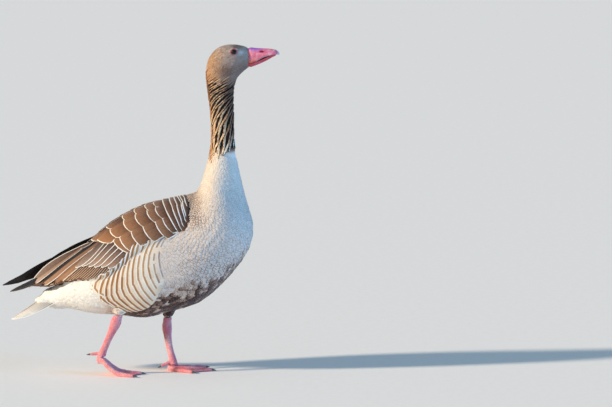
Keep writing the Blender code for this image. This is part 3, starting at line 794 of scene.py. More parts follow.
def looks_of(place):
    """Six numbers for each place: shade, warmth, rim, bars, a chance number, and none left over."""
    layers = markings(place)
    chance = 0.5 + (random_numbers.random(len(place)) - 0.5) * layers["differ"]
    columns = layers["shade"], np.maximum(layers["warmth"], 0), layers["rim"], layers["bars"]
    return np.stack([*columns, chance, np.zeros(len(place))], -1)


skin_points = np.array([vert.co for vert in skin_mesh.verts])
looks = looks_of(skin_points)
x, _, z = skin_points.T
above = above_wing_edge(skin_points)
# The wing's dark ground starts at its lower edge, and over the rump at a height instead.
wing_share = np.where(x < -0.06, fade(above, -1, 2), fade(above, 4, 9)) * (x < 0.091)
wing_share = np.where(x < -0.189, fade(z, 0.174, 0.178), wing_share)
blend_to(looks[:, 0], 0.72, wing_share)
blend_to(looks[:, 1], 0.5, wing_share)
# The skin in the furrows of the neck is painted black: the shade deep in the furrows.
blend_to(looks[:, 0], 1.0, fade(z / MM, 448, 470) * fade(-z / MM, -622, -600))
skin = add_piece("skin", skin_mesh, skin_plumage)
add_vectors(skin.data, "plume", looks[:, :3])
add_vectors(skin.data, "marks", looks[:, 3:])
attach(skin, "root")
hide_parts(*FLESH, *WINGS)
print("white share of the skin:", round(float((looks[:, 0] < 0.05).mean()), 3))

# %% [markdown]
# ## Rows of feathers
# Feathers grow in rows that run round the body like tiles on a roof. Here a row is the line at
# equal distance from the first ring, measured along the body and counted in feather lengths, so
# rows stay evenly spaced on the outside of a bend as well as on its inside. Along each row the
# roots stand half a step beside those of the row before.

# %% Rows
def rows_of_roots(first, last, exposure, spacing):
    """Addresses of roots between two stations, in rows exposure(place) apart from the first on."""
    keys = np.linspace(first, last, 160)
    turn = np.linspace(-180, 180, 361)
    grid = at_address(np.repeat(keys, len(turn)), np.tile(turn, len(keys)))
    grid = grid.reshape(len(keys), len(turn), 3)
    steps = np.linalg.norm(np.diff(grid, axis=0), axis=-1)
    middles = ((grid[1:] + grid[:-1]) / 2).reshape(-1, 3)
    steps = steps / exposure(middles).reshape(steps.shape)
    rows = np.concatenate([np.zeros((1, len(turn))), np.cumsum(steps, axis=0)])
    addresses = []
    for k in range(int(rows.max()) + 1):
        level = k + 0.5
        station = np.array([np.interp(level, column, keys, right=np.nan) for column in rows.T])
        valid = ~np.isnan(station)
        curve = at_address(np.where(valid, station, last), turn)
        gaps = np.linalg.norm(np.diff(curve, axis=0), axis=-1) / spacing((curve[1:] + curve[:-1]) / 2)
        count = np.concatenate([[0], np.cumsum(gaps)])
        wanted = np.arange(0.5 * (k % 2), count[-1], 1.0)
        wanted = wanted + random_numbers.uniform(-0.16, 0.16, len(wanted))
        angle = np.interp(wanted, count, turn)
        row_station = np.interp(wanted, count, np.where(valid, station, -1.0))
        keep = np.interp(wanted, count, valid.astype(float)) > 0.99
        addresses.append(np.stack([row_station, angle], -1)[keep])
    addresses = np.concatenate(addresses)
    addresses[:, 0] += random_numbers.normal(0, 0.0004, len(addresses))
    return addresses[:, 0], addresses[:, 1]


def toward_tail(station, angle):
    """The direction along the skin that runs back towards the tail."""
    return unit(at_address(station - 0.004, angle) - at_address(station + 0.004, angle))


def fanned(place, way):
    """Feathers below the shoulder fan out from it; the others keep their way."""
    away = (place - np.array((112, 0, 356)) * MM) * (1, 0, 1)
    distance = np.linalg.norm(away, axis=1) / MM
    share = 0.85 * fade(-distance, -150, -60) * fade(-place[:, 2] / MM, -352, -325)
    return unit(way * (1 - share)[:, None] + unit(away) * share[:, None])


def in_patch_frame(station, angle, first, last):
    """Places on the unwrapped skin, for the UV map OFBake."""
    across = (np.asarray(angle) + 180) % 360 / 360
    along = (station - first) / (last - first)
    return np.stack([across, along], -1) * 0.98 + 0.01


def coat_between(first, last, exposure, spacing, keep, length, width, low, high):
    """A coat for one region; exposure, spacing, length and width are functions of the place."""
    station, angle = rows_of_roots(first, last, exposure, spacing)
    place = at_address(station, angle)
    kept = keep(place)
    station, angle, place = station[kept], angle[kept], place[kept]
    way = fanned(place, toward_tail(station, angle))
    swing = random_numbers.normal(0, 0.10, len(way))[:, None]
    facing = unit(np.cross(way, at_address(station, angle + 2) - place))
    way = unit(way + np.cross(facing, way) * swing)
    count = len(place)
    size = random_numbers.uniform(0.88, 1.12, count)
    low, high = np.full(count, low * MM), high * random_numbers.uniform(0.85, 1.15, count) * MM
    patch = in_patch_frame(station, angle, first, last)
    length, width = length(place) * size, width(place) * size
    return Coat(place, way, length, width, low, high, looks_of(place), patch)


print("the keel lies", round(station_of["keel"], 3), "m along the bird")

# %% [markdown]
# ## The coat of body and breast
# Down on the belly the feathers are large and loose, up on the neck small and close. Their length,
# width and spacing are given at a few heights and change evenly between them. The coat is laid in
# two pieces, so that each stays small enough to export.

# %% Body coat
def millimetres(*pairs):
    """A length in metres that changes with the height of the place, given as (height, length)."""
    heights, lengths = zip(*pairs)
    return lambda place: np.interp(place[:, 2] / MM, heights, lengths) * MM


def below_wing(place):
    return (above_wing_edge(place) < 2) | (place[:, 0] > 0.106)


row_gap = millimetres((120, 7.0), (300, 5.2), (400, 4.0), (450, 3.6))
side_gap = millimetres((120, 9.0), (300, 6.5), (400, 4.6), (450, 4.0))
long_gap = millimetres((120, 21.0), (300, 15.0), (400, 11.5), (450, 10.0))
wide_gap = millimetres((120, 15.0), (300, 10.5), (400, 7.2), (450, 6.2))
keel = station_of["keel"]
neck_start = 0.5 * (station_of["low neck"] + station_of["mid neck"])
for name, first, last in (("coat_trunk", 0.0, keel), ("coat_breast", neck_start, keel - 0.004)):
    coat = coat_between(first, last, row_gap, side_gap, below_wing, long_gap, wide_gap, 0.9, 2.2)
    piece = lay_coat(name, small_vane, coat, soft_plumage)
    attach(piece, "root")

# %% [markdown]
# ## Face and crown
# The smallest feathers of the bird are on its head: close-set tufts, two millimetres apart, that
# lie back from the bill. They keep clear of the eye and of the place just in front of it.

# %% Head coat
EYE = Vector((191.0, 15.7, 660.0)) * MM
EYE_ROOM = 6.9 * MM
throat = station_of["throat"]
bill_base = station_of["bill base"]


def clear_of_eyes(place):
    """Whether the roots at these places leave the eyes free."""
    sides = place.copy()
    sides[:, 1] = abs(sides[:, 1])
    offset = sides - np.array(EYE)
    near = (np.linalg.norm((offset - (ahead * MM, 0, 0)) * (1, 0.5, 1), axis=1) for ahead in (0, 4))
    return np.minimum(*near) > EYE_ROOM


def head_gap(place):
    return np.interp(place[:, 0] / MM, (140, 185, 215), (2.7, 2.2, 1.7)) * MM


def head_long(place):
    return head_gap(place) * 2.9


def head_wide(place):
    return head_gap(place) * 1.25


head_start = 0.75 * throat + 0.25 * station_of["upper neck"]
face = coat_between(
    bill_base - 0.0004, head_start, head_gap, head_gap, clear_of_eyes, head_long, head_wide, 0.1, 1.1
)
head_coat = lay_coat("coat_head", tuft, face, soft_plumage)
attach(head_coat, "root")

# %% [markdown]
# ## The furrowed neck
# A grey goose's neck is ploughed into ridges. Its feathers stand in files that run down the neck
# and slant round towards the nape, pale on the crest of each ridge and dark in the furrow between.
# Each file here is a line on the unrolled neck, and narrow pointed feathers follow it downwards.

# %% Neck ridges
FILE_GAP = 7.2 * MM
ROOT_STEP = 5.2
RIDGE_LENGTH, RIDGE_WIDTH = 18 * MM, 5.4 * MM
# How far the files slant from the neck's own line, as heights and degrees.
SLANT = ((436, 467, 492, 518, 543, 569, 594, 612, 630), (22, 28, 22, 18, 30, 42, 52, 44, 30))


def neck_files():
    """Places, directions and addresses of the feathers in every file of both sides."""
    heights = np.arange(640, 436, -1.0)
    slant = np.radians(np.interp(heights, *SLANT))
    drift = np.concatenate([[0], np.cumsum(np.tan(slant[1:]))]) * MM
    low, high = station_of["low neck"], station_of["nape"]
    rows = []
    for side in (-1, 1):
        quarter = np.linspace(-90, 90, 61)
        turn = quarter if side > 0 else 180 - quarter
        for k in range(-34, 16):
            start = (k + 0.5) * FILE_GAP
            previous = None
            travelled = random_numbers.uniform(0, 6)
            for height, lean, moved in zip(heights, slant, drift):
                station = np.interp(height, (436, 640), (low + 0.012, high - 0.002))
                ring = at_address(np.full(61, station), turn)
                arc = distances(ring)
                offset = start + moved + 1.1 * MM * sin(height / 8.0 + 2.1 * k)
                if not 0 <= offset <= arc[-1]:
                    previous = None
                    continue
                place = np.array([np.interp(offset, arc, ring[:, axis]) for axis in range(3)])
                angle = np.interp(offset, arc, turn)
                if previous is not None:
                    travelled += np.linalg.norm(place - previous) / MM
                    if travelled > ROOT_STEP:
                        travelled = 0
                        rows.append((*place, *(place - previous), station, angle, cos(lean)))
                previous = place
    return np.array(rows)


files = neck_files()
print("roots on the neck:", len(files))

# %% [markdown]
# ## The neck's coat
# The files end in a ragged line under the head and above the breast. Near-black side rims, painted
# shade of the furrows, leave a pale crest on each ridge. The colour runs from buff on the side of the
# neck to dark brown at the nape, and the front is painted darker and greyer: shade on the side turned
# from the light.

# %% Neck coat
place, way = files[:, 0:3], unit(files[:, 3:6])
height = place[:, 2] / MM
share = np.clip((place[:, 0] / MM - 137) / 56, 0, 1)
upper_end = 622 - 22 * share
lower_end = np.interp(share, (0, 0.35, 0.7, 1), (440, 462, 464, 474))
wild = random_numbers.normal(0, 5, len(files))
kept = (height < upper_end + wild) & (height > lower_end + wild)
files, place, way, share = files[kept], place[kept], way[kept], share[kept]
count = len(files)
looks = np.zeros((count, 6))
height = place[:, 2] / MM
# Darker and greyer towards the front, painted shade of the side turned from the light; darker towards the
# nape, its own dark brown.
looks[:, 0] = 0.33 + 0.31 * fade(share, 0.62, 0.95) + 0.26 * fade(-share, -0.36, 0)
blend_to(looks[:, 0], 0.18, fade(lower_end[kept] - height, -34, -2) * fade(share, 0.2, 0.6))
blend_to(looks[:, 0], 0.5, fade(height, 588 + 14 * (1 - share), 612 + 10 * (1 - share)))
looks[:, 1] = 1.1 - 0.55 * fade(share, 0.55, 0.95)
# Near-black side rims: painted shade of the furrows.
looks[:, 2] = 0.98 - 0.22 * fade(-share, -0.25, 0)
looks[:, 4] = random_numbers.random(count)
patch = in_patch_frame(files[:, 6], files[:, 7], station_of["low neck"], station_of["nape"])
size = random_numbers.uniform(0.9, 1.15, count)
low, high = np.full(count, 0.1 * MM), np.full(count, 1.5 * MM)
ridges = Coat(
    place, way, RIDGE_LENGTH * size, RIDGE_WIDTH * files[:, 8] * size, low, high, looks, patch, 0.34,
    ("sides", 0.85),
)
ridge_plumage = plumage_finish("ridge_plumage", 0.8, ribbed=0.08)
neck_coat = lay_coat("coat_neck", ridge_vane, ridges, ridge_plumage)
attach(neck_coat, "root")

# %% [markdown]
# ## Thighs
# Only the ends of the thighs leave the belly's plumage. The chart of the body doesn't reach them,
# so their feathers grow at points of the skin itself, picked in random order and kept when no
# chosen root lies closer than their spacing. All of them hang down towards the leg.

# %% Thighs
THIGH_GAP = 4.2 * MM
# Length, width and the heights of root and tip over the skin, in millimetres.
THIGH_FEATHER = (13, 8, 0.3, 1.6)
# Shade, warmth and rim: the right thigh belongs to the white belly; the left one, on the far side, is
# painted brown, the shade under the belly.
THIGH_LOOKS = {"left": (0.62, 0.25, 0.45), "right": (0.10, 0.45, 0.03)}


def thigh_roots(low, high):
    """Places on the skin inside a box, none closer to another than the gap."""
    inside = ((skin_points > low - 4 * MM) & (skin_points < high + 4 * MM)).all(axis=1)
    chosen = []
    for place in random_numbers.permutation(skin_points[inside]):
        if all(np.linalg.norm(place - other) > THIGH_GAP for other in chosen):
            chosen.append(place)
    return np.array(chosen)


def thigh_coat(side):
    box_low, box_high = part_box(f"thigh_{side}")
    place = thigh_roots(np.array(box_low), np.array(box_high))
    count = len(place)
    out = unit((place - np.array((box_low + box_high) / 2)) * (1, 1, 0))
    way = unit(np.array([0.0, 0.0, -1.0]) + out * 0.1 + random_numbers.normal(0, 0.08, (count, 3)))
    looks = looks_of(place)
    looks[:, 0:3] = THIGH_LOOKS[side]
    patch = random_numbers.random((2, count)).T * 0.98 + 0.01
    sizes = (np.full(count, value * MM) for value in THIGH_FEATHER)
    return Coat(place, way, *sizes, looks, patch)


for side in ("left", "right"):
    thigh = lay_coat(f"coat_thigh_{side}", small_vane, thigh_coat(side), soft_plumage)
    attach(thigh, "root")

# %% [markdown]
# ## Large feathers
# Flank, wing and tail feathers are large enough to be placed one by one. Each follows a path from
# its root to its tip and is laid like a roof tile: its lower edge stands a little proud and covers
# the feather below, its upper edge tucks under the feather above, and its tip covers the next row.

# %% Large feathers
# layer is how high root and tip stand and how far the lower edge stands proud, in millimetres.
# down is 1 or -1, the side of the feather that faces the ground. shade is that of root and tip,
# and deep is how much darker the upper half is. patch is the middle and the size of the feather's
# place on the UV map. free is the facing of a feather that hangs free of the skin.
Plume = namedtuple(
    "Plume", "path blade width layer down shade warmth rim edge patch bars deep free",
    defaults=(0.0, 0.0, None),
)
LONG_TIP = ((0, 0.12, 0.5, 0.8, 0.93, 1), (0.5, 0.8, 1.0, 0.92, 0.68, 0.3))
NARROW_TIP = ((0, 0.12, 0.4, 0.7, 0.85, 0.95, 1), (0.6, 0.85, 1.0, 0.95, 0.7, 0.38, 0.12))
long_vane = blade_shape(6, 14, LONG_TIP, 0.12)
narrow_vane = blade_shape(6, 14, NARROW_TIP, 0.05)


def plume_points(plume):
    """The points of one large feather and the place of each in the feather, in millimetres."""
    path, blade = np.asarray(plume.path, float), plume.blade
    gone = distances(path)
    length = gone[-1]
    share = blade.along - blade.bow * plume.width / length * blade.across**2 * blade.along**4
    smooth = np.linspace(0, length, 25)
    spine = smooth_rows(gone, path, smooth)
    way = unit(np.gradient(spine, axis=0))
    facing = snapped(spine)[1] if plume.free is None else np.tile(plume.free, (25, 1))
    side = unit(np.cross(facing, way))
    facing = np.cross(way, side)

    def at(rows):
        return np.stack([np.interp(share * length, smooth, column) for column in rows.T], -1)

    half = np.interp(blade.along, *blade.outline) / 2 * plume.width
    across = blade.across * half
    points = at(spine) + at(side) * across[:, None]
    normal = at(facing)
    if plume.free is None:
        points, normal = snapped(points)
    thick = min(0.4 * MM, plume.width * 0.03)
    low, high, tilt = (value * MM for value in plume.layer)
    height = low + (high - low) * blade.along + tilt * blade.across * plume.down
    height = height + plume.width * 0.02 * (1 - blade.across**2) - thick * blade.under
    lower = across * plume.down
    gap = rim_distance(plume.edge, half * (1 - abs(blade.across)), length * (1 - blade.along), lower > 0)
    own = np.stack([lower / MM, share * length / MM, gap], -1)
    return points + normal * height[:, None], own


print("faces of a large feather:", len(long_vane.faces))

# %% [markdown]
# ## Joining large feathers
# A few dozen large feathers make one piece. Their points, faces and attributes are gathered in
# lists and joined at the end, with each feather's faces counted on from those before it.

# %% Joining large feathers
def lay_plumes(name, plumes, finish, slot, *replaced):
    """One piece from many large feathers."""
    parts = []
    used = 0
    for plume in plumes:
        blade = plume.blade
        place, own = plume_points(plume)
        shade = plume.shade[0] + (plume.shade[1] - plume.shade[0]) * blade.along
        same = np.ones(len(place))
        looks = np.stack([shade, plume.warmth * same, plume.rim * same], -1)
        marks = np.tile((plume.bars, random_numbers.random(), plume.deep), (len(place), 1))
        local = np.stack([blade.across, blade.along * 2 - 1], -1) / 2
        patch = np.array(plume.patch[:2]) + local * np.array(plume.patch[2:])
        parts.append((place, blade.faces + used, blade.rim, own, looks, marks, patch))
        used += len(place)
    points, faces, rim, own, looks, marks, patches = map(np.concatenate, zip(*parts))
    mesh = built_mesh(name, points, faces, rim)
    add_vectors(mesh, "own", own)
    add_vectors(mesh, "plume", looks)
    add_vectors(mesh, "marks", marks)
    add_patches(mesh, patches)
    piece = placed(name, mesh, finish)
    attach(piece, "root")
    if replaced:
        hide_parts(*replaced)
    print(f"{name}: {len(plumes)} feathers, {len(mesh.polygons) * 2} triangles")


print("a large feather is described by:", Plume._fields)

# %% [markdown]
# ## Rows like roof tiles
# On flank and shoulder the broad feathers stand side by side, and their tips end on one line. So
# a row starts from that line: each tip is set on it, and the feather runs back from its tip at a
# right angle to the line, or leaning towards the tail.

# %% Tiled rows
def line_length(line):
    """The length of a row line, which gives a place for each share from 0 to 1."""
    return distances(np.array([line(share) for share in np.linspace(0, 1, 20)]))[-1]


def tile_row(line, count, length, width, blade, looks, side, layer, row, lean=0.0, wild=0.0):
    """Feathers in one row, whose tips lie along line(share), the first one uppermost."""
    plumes = []
    for k in range(count):
        share = (k + 0.5) / count
        tip = line(share)
        along = line(min(share + 0.03, 1)) - line(max(share - 0.03, 0))
        facing = np.array(guide.find_nearest(Vector(tip))[1])
        square = unit(np.cross(facing, along))
        if square[0] > 0:
            square = -square
        back = unit(np.array([-1.0, 0, 0]) - facing * -facing[0])
        sway = unit(along) * random_numbers.normal(0, wild)
        way = unit(square * (1 - lean) + back * lean + sway)
        reach = length * random_numbers.uniform(0.95, 1.05)
        tip = tip + way * random_numbers.normal(0, 0.1 * wild) * length
        size = width * random_numbers.uniform(0.94, 1.06)
        shade = tuple(value + random_numbers.normal(0, 0.02) for value in looks["shade"])
        number, rows = row
        patch = (share, (number + 0.5) / rows, 0.92 / count, 0.92 / rows)
        path = [tip - way * reach, tip - way * reach * 0.5, tip]
        plumes.append(Plume(path, blade, size, layer, -side, patch=patch, **{**looks, "shade": shade}))
    return plumes


print("faces of a broad feather:", len(bar_vane.faces))

# %% [markdown]
# ## Flank
# Along each side lie thirteen upright rows of broad feathers, brown behind a white edge. The rows
# lean round the thigh: the hind ones run forward at their lower end, the front ones stand upright.

# %% Flank
SIDES = ((-1, "right"), (1, "left"))
# How far along x the middle of each line across the body lies.
middle_x = (lines[:, 0] + lines[:, 2]) / 2
FLANK_SHAPE = np.array([
    # place along the body, bend of the row's lower end, angle where it ends, bars, feathers
    (-94, 26, -26, 0.34, 4), (-82, 42, -54, 0.38, 5), (-66, 46, -60, 0.38, 6), (-49, 44, -58, 0.38, 6),
    (-32, 40, -54, 0.36, 6), (-16, 32, -46, 0.34, 5), (0, 24, -36, 0.32, 5), (27, 10, -18, 0.24, 4),
    (46, 6, -8, 0.17, 3),
])
FLANK_STEP = 10.8
FLANK_FEATHER = 26 * MM


def flank_line(x_middle, bend, low_angle, side):
    """The row line of a flank row: upright, with both of its ends bent forward."""
    top = np.interp(x_middle + 14, WING_LINES[:, 0], WING_LINES[:, 4]) * 0.94 + 11
    top = min(top + 9 * np.exp(-(((x_middle + 24) / 26) ** 2)), 52)

    def line(share):
        angle = top + (low_angle - top) * share
        moved = 15 * max(0.0, 1 - share / 0.45) ** 2 + bend * max(0.0, (share - 0.5) / 0.5) ** 1.7
        station = np.interp((x_middle + moved) * MM, middle_x, chart_keys)
        return at_address([station], [angle if side > 0 else 180 - angle])[0]

    return line


def flank_plumes(side):
    plumes = []
    places = np.arange(FLANK_SHAPE[0, 0], FLANK_SHAPE[-1, 0], FLANK_STEP)
    for k, x_middle in enumerate(places):
        shape = (np.interp(x_middle, FLANK_SHAPE[:, 0], column) for column in FLANK_SHAPE.T[1:])
        bend, low_angle, bars, count = shape
        count = int(round(count))
        ahead = float(fade(x_middle, 0, 38))
        looks = {
            "shade": (0.17 + 0.09 * ahead, 0.11 + 0.10 * ahead), "warmth": 0.85 + bars - 0.7 * ahead,
            "rim": 0.01 + 0.12 * ahead, "bars": bars, "edge": ("tip", 1.4 + 3.0 * bars),
        }
        line = flank_line(x_middle, bend, low_angle, side)
        width = line_length(line) / count * 1.3
        layer = (2.3 - 2.0 * ahead, 3.9 - 0.05 * k - 0.7 * ahead, 0.15)
        row = (k, len(places))
        plumes += tile_row(line, count, FLANK_FEATHER, width, bar_vane, looks, side, layer, row)
    return plumes


for side, name in SIDES:
    lay_plumes(f"coat_flank_{name}", flank_plumes(side), soft_plumage, "plumage_body")

# %% [markdown]
# ## Shoulder feathers
# The folded wing is roofed by the scapulars, twelve rows of broad brown feathers with cream edges.
# Their rows slant forward as they come down from the back. Seen from the side each row shows as
# one scalloped cream line, with a notch where one feather ends and the next one starts.

# %% Scapulars
SCAPULARS = (
    # x at the back, half way down and at the lower end, angle of that end, feathers, length
    (84, 89, 92, 60, 2, 11), (77, 87, 90, 46, 2, 14), (72, 83, 89, 41, 2, 16), (66, 77, 84, 37, 2, 18),
    (57, 68, 81, 32, 2, 22), (44, 56, 73, 32, 2, 28), (27, 38, 64, 30, 3, 36), (11, 20, 52, 27, 3, 46),
    (-9, -5, 26, 26, 3, 58), (-33, -30, 1, 24, 3, 66), (-70, -57, -20, 21, 3, 68),
    (-102, -80, -17, 17, 3, 62),
)
BACK_ANGLE, HALF_ANGLE = 92, 52
wing_plumage = plumage_finish("wing_plumage", 1.0, gloss=0.6, shaft=0.05)


def wing_place(x, angle, side):
    """A point of the folded wing, from its distance along the bird and the angle round it."""
    centre, above, width = wing_section(x)
    parts = (cos(radians(angle)), sin(radians(angle)))
    reach, rise = (np.sign(part) * abs(part) ** 0.96 for part in parts)
    return np.array([x, side * width * reach, centre + above * rise]) * MM


def wing_row_line(x_back, x_half, x_low, low_angle, side):
    """The row line of a scapular row: a straight or bent line over the folded wing."""
    if low_angle > 40:
        curve = np.polyfit([BACK_ANGLE, low_angle], [x_back, x_low], 1)
    else:
        curve = np.polyfit([BACK_ANGLE, HALF_ANGLE, low_angle], [x_back, x_half, x_low], 2)

    def line(share):
        angle = BACK_ANGLE + (low_angle - BACK_ANGLE) * share
        return snapped(wing_place(np.polyval(curve, angle), angle, side))[0]

    return line


def wing_path(addresses, side, count=7):
    """A smooth path over the folded wing through (x, angle) addresses."""
    addresses = np.array(addresses, float)
    keys = distances(addresses * (1, 1.2))
    rows = smooth_rows(keys, addresses, np.linspace(0, keys[-1], count))
    return snapped(np.array([wing_place(x, angle, side) for x, angle in rows]))[0]


def scapular_plumes(side):
    plumes = []
    for k, (x_back, x_half, x_low, low_angle, count, length) in enumerate(SCAPULARS):
        line = wing_row_line(x_back, x_half, x_low, low_angle, side)
        width = line_length(line) / count * 1.42
        front = k < 6
        looks = {
            "shade": (1.10 - 0.02 * k, 0.64 - 0.01 * k), "warmth": 0.45 + 0.04 * k, "rim": 0.06,
            "edge": ("tip", 2.4) if front else ("open", 1.8 + 0.04 * k),
        }
        blade, lean, wild = (bar_vane, 0.0, 0.0) if front else (wide_vane, 0.3, 0.02)
        layer = (0.8, 3.6 if k < 10 else 2.8, 0.2 if front else 0.6)
        row = (k, len(SCAPULARS))
        plumes += tile_row(line, count, length * MM, width, blade, looks, side, layer, row, lean, wild)
    for k, x in enumerate((62, 40, 18, -4, -26, -48)):
        path = wing_path(((x, 84), (x - 30, 86), (x - 62, 84)), side)
        patch = ((k + 0.5) / 6, 0.97, 0.14, 0.04)
        plumes.append(Plume(
            path, long_vane, 17 * MM, layer=(1.5, 4.4, 0.5), down=-side, shade=(0.72, 0.62), warmth=0.45,
            rim=0.14, edge=("open", 1.2), patch=patch,
        ))
    return plumes


for side, name in SIDES:
    lay_plumes(f"scapulars_{name}", scapular_plumes(side), wing_plumage, "wing_feathers")

# %% [markdown]
# ## Wing coverts, secondaries and tertials
# Behind the scapulars a fan of narrow grey coverts with white edges slants down to the wing's
# lower margin. The tips of the secondaries show below it as a finely lined brown band, and three
# long tertials run on to the wing's point, the upper ones lying over the lower.

# %% Folded wing
COVERTS = (
    # root and tip of each covert's middle line, as x and angle
    ((-30, 66), (-62, 57), (-131, 31)), ((-28, 56), (-62, 49), (-118, 29)),
    ((-22, 48), (-60, 39), (-104, 24)), ((-16, 40), (-56, 32), (-92, 19.5)),
    ((-10, 34), (-48, 26), (-78, 15)), ((-2, 29), (-36, 21), (-64, 10.5)),
    ((6, 24), (-24, 17), (-50, 7.5)), ((14, 20), (-12, 14), (-36, 7)),
)
TERTIALS = (
    # path, width, shade at root and tip, warmth, how much darker the upper half is
    (((-50, 76), (-90, 74), (-122, 73)), 22, (0.86, 0.70), 0.35, 0.1),
    (((-60, 76), (-110, 80), (-150, 78), (-190, 68), (-224, 40)), 26, (0.70, 0.40), 0.42, 0.0),
    (((-58, 58), (-105, 60), (-150, 52), (-182, 38), (-206, 20)), 26, (0.74, 0.48), 0.65, 0.5),
    (((-56, 48), (-105, 44), (-145, 33), (-172, 20), (-190, 9)), 22, (0.70, 0.50), 0.75, 0.1),
)
# The uppermost feather of the wing's point lies free of the skin, along these places.
TOP_PATH = (
    (-95, 6, 267), (-125, 8, 251), (-155, 11, 235.5), (-181, 12, 220), (-205, 13, 200), (-228, 14, 177),
)


def folded_wing_plumes(side):
    plumes = []
    for k in range(17):
        tip_x, tip_angle = -68 - 7.6 * k, 2.0 + 0.5 * k
        path = ((tip_x + 62, tip_angle + 27), (tip_x + 30, tip_angle + 13), (tip_x, tip_angle))
        plumes.append(Plume(
            wing_path(path, side), long_vane, 11 * MM, layer=(0.3, 1.0 + 0.05 * k, 0.5), down=-side,
            shade=(0.90, 0.80 - 0.018 * k), warmth=0.45 + 0.03 * k, rim=0.3, edge=("open", 0.8),
            patch=(0.04 + 0.057 * k, 0.15, 0.05, 0.26), deep=0.05,
        ))
    for k, (path, width, shade, warmth, deep) in enumerate(reversed(TERTIALS)):
        plumes.append(Plume(
            wing_path(path, side, 11), long_vane, width * MM, layer=(0.8, 2.2 + 0.5 * k, 0.6), down=-side,
            shade=shade, warmth=warmth, rim=0.05, edge=("open", 1.4),
            patch=(0.14 + 0.2 * k, 0.5, 0.18, 0.38), deep=deep,
        ))
    for k, path in enumerate(COVERTS):
        plumes.append(Plume(
            wing_path(path, side), long_vane, 19 * MM, layer=(1.0, 3.4 - 0.12 * k, 0.6), down=-side,
            shade=(1.0, 0.42 + random_numbers.normal(0, 0.02)), warmth=0.20 + 0.05 * k, rim=0.02,
            edge=("open", 1.5), patch=(0.1 + 0.1 * k, 0.85, 0.09, 0.26), deep=0.06,
        ))
    plumes.append(Plume(
        np.array(TOP_PATH) * (1, side, 1) * MM, narrow_vane, 22 * MM, layer=(0.0, 0.3, 0.0), down=-side,
        shade=(0.85, 0.45), warmth=0.35, rim=0.05, edge=("all", 1.3), patch=(0.92, 0.5, 0.12, 0.38),
        free=unit(np.array([-0.1, side * 0.85, 0.5])),
    ))
    return plumes


for side, name in SIDES:
    lay_plumes(f"folded_wing_{name}", folded_wing_plumes(side), wing_plumage, "wing_feathers")

# %% [markdown]
# ## Flight feathers
# The long black primaries stick out behind the folded wings. Those of the left wing cross over
# the rump and end in the bird's hindmost point. Shorter ones lie on top of longer ones, so the
# upper edge of the bunch goes down in steps. They hang free, so each takes a fixed facing.

# %% Primaries
PRIMARIES = {
    "left": (
        # path of the middle line, width
        (((-90, 4, 268), (-150, 9, 234), (-200, 13, 209), (-238, 12, 188)), 20),
        (((-90, 3, 272), (-150, 7, 240), (-200, 11, 216), (-245, 10, 191.5), (-283, 7, 178.4)), 22),
        (((-86, 2, 278), (-120, 3, 263), (-160, 5, 242), (-192, 6, 225)), 15),
        (((-84, 1, 280), (-110, 1, 268), (-140, 2, 254), (-166, 3, 240)), 13),
    ),
    "right": (
        (((-180, -17, 197), (-210, -17, 190), (-240, -15, 178.5), (-267, -12, 168)), 11),
        (((-180, -16, 199), (-205, -15, 193), (-232, -13.5, 183), (-252, -12, 175.5)), 10),
        (((-180, -15, 201), (-200, -14, 196), (-220, -12.5, 189), (-238, -12, 182)), 9),
    ),
}
FACING = {"left": unit(np.array([0.0, 0.88, 0.47])), "right": unit(np.array([0.0, -0.88, 0.47]))}
flight_plumage = plumage_finish("flight_plumage", 0.9, gloss=0.42)


def primary_plumes(side):
    plumes = []
    for k, (path, width) in enumerate(PRIMARIES[side]):
        lift = 0.7 * k
        plumes.append(Plume(
            np.array(path) * MM, narrow_vane, width * MM, layer=(lift, lift + 0.4, 0.0),
            down=1 if side == "right" else -1, shade=(0.97, 1.0), warmth=0.1, rim=0.55,
            edge=("open", 0.7), patch=((k + 0.5) / 5, 0.5, 0.17, 0.92), free=FACING[side],
        ))
    return plumes


for side in ("left", "right"):
    feathers = primary_plumes(side)
    lay_plumes(f"primary_feathers_{side}", feathers, flight_plumage, "flight_feathers", f"primaries_{side}")

# %% [markdown]
# ## Tail
# The tail is a fan of eighteen feathers, grey-brown with broad white edges and tips, and the
# outermost are almost white. The white coat of the rump runs on over both faces of its root.

# %% Tail
TAIL_ROOT, TAIL_TIP = np.array((-165, 177.5)), np.array((-264.5, 110.5))
TAIL_COUNT = 18
tail_plumage = plumage_finish("tail_plumage", 1.0, gloss=0.7, shaft=0.04)


def tail_place(share, across):
    """A point of the fan: share runs from its root to its tip, across from -1 to 1."""
    x, z = TAIL_ROOT + (TAIL_TIP - TAIL_ROOT) * share * (1 - 0.26 * across**2 * share)
    droop = (27 - 20 * share) * abs(across) ** 1.8
    return np.array([x, (16 + 30 * share) * across, z - droop - 1.2]) * MM


def tail_plumes():
    plumes = []
    for k in range(TAIL_COUNT):
        across = 2 * (k + 0.5) / TAIL_COUNT - 1
        outer = abs(across)
        path = [tail_place(share, across * 0.96) for share in (0, 0.35, 0.7, 1)]
        roll = -0.5 * np.sign(across) * outer**0.8
        lift = (1.0 - outer) * 1.6
        plumes.append(Plume(
            path, long_vane, 17 * MM, layer=(lift, lift, 0.35 * np.sign(across)), down=1,
            shade=(0.36 - 0.2 * outer, 0.42 - 0.3 * outer), warmth=0.15, rim=0.02, edge=("all", 2.4),
            patch=((k + 0.5) / TAIL_COUNT, 0.3, 0.9 / TAIL_COUNT, 0.55),
            free=unit(np.array([-0.57, -roll * 0.9, 0.82])),
        ))
    return plumes


lay_plumes("tail_fan", tail_plumes(), tail_plumage, "tail_feathers", "tail")

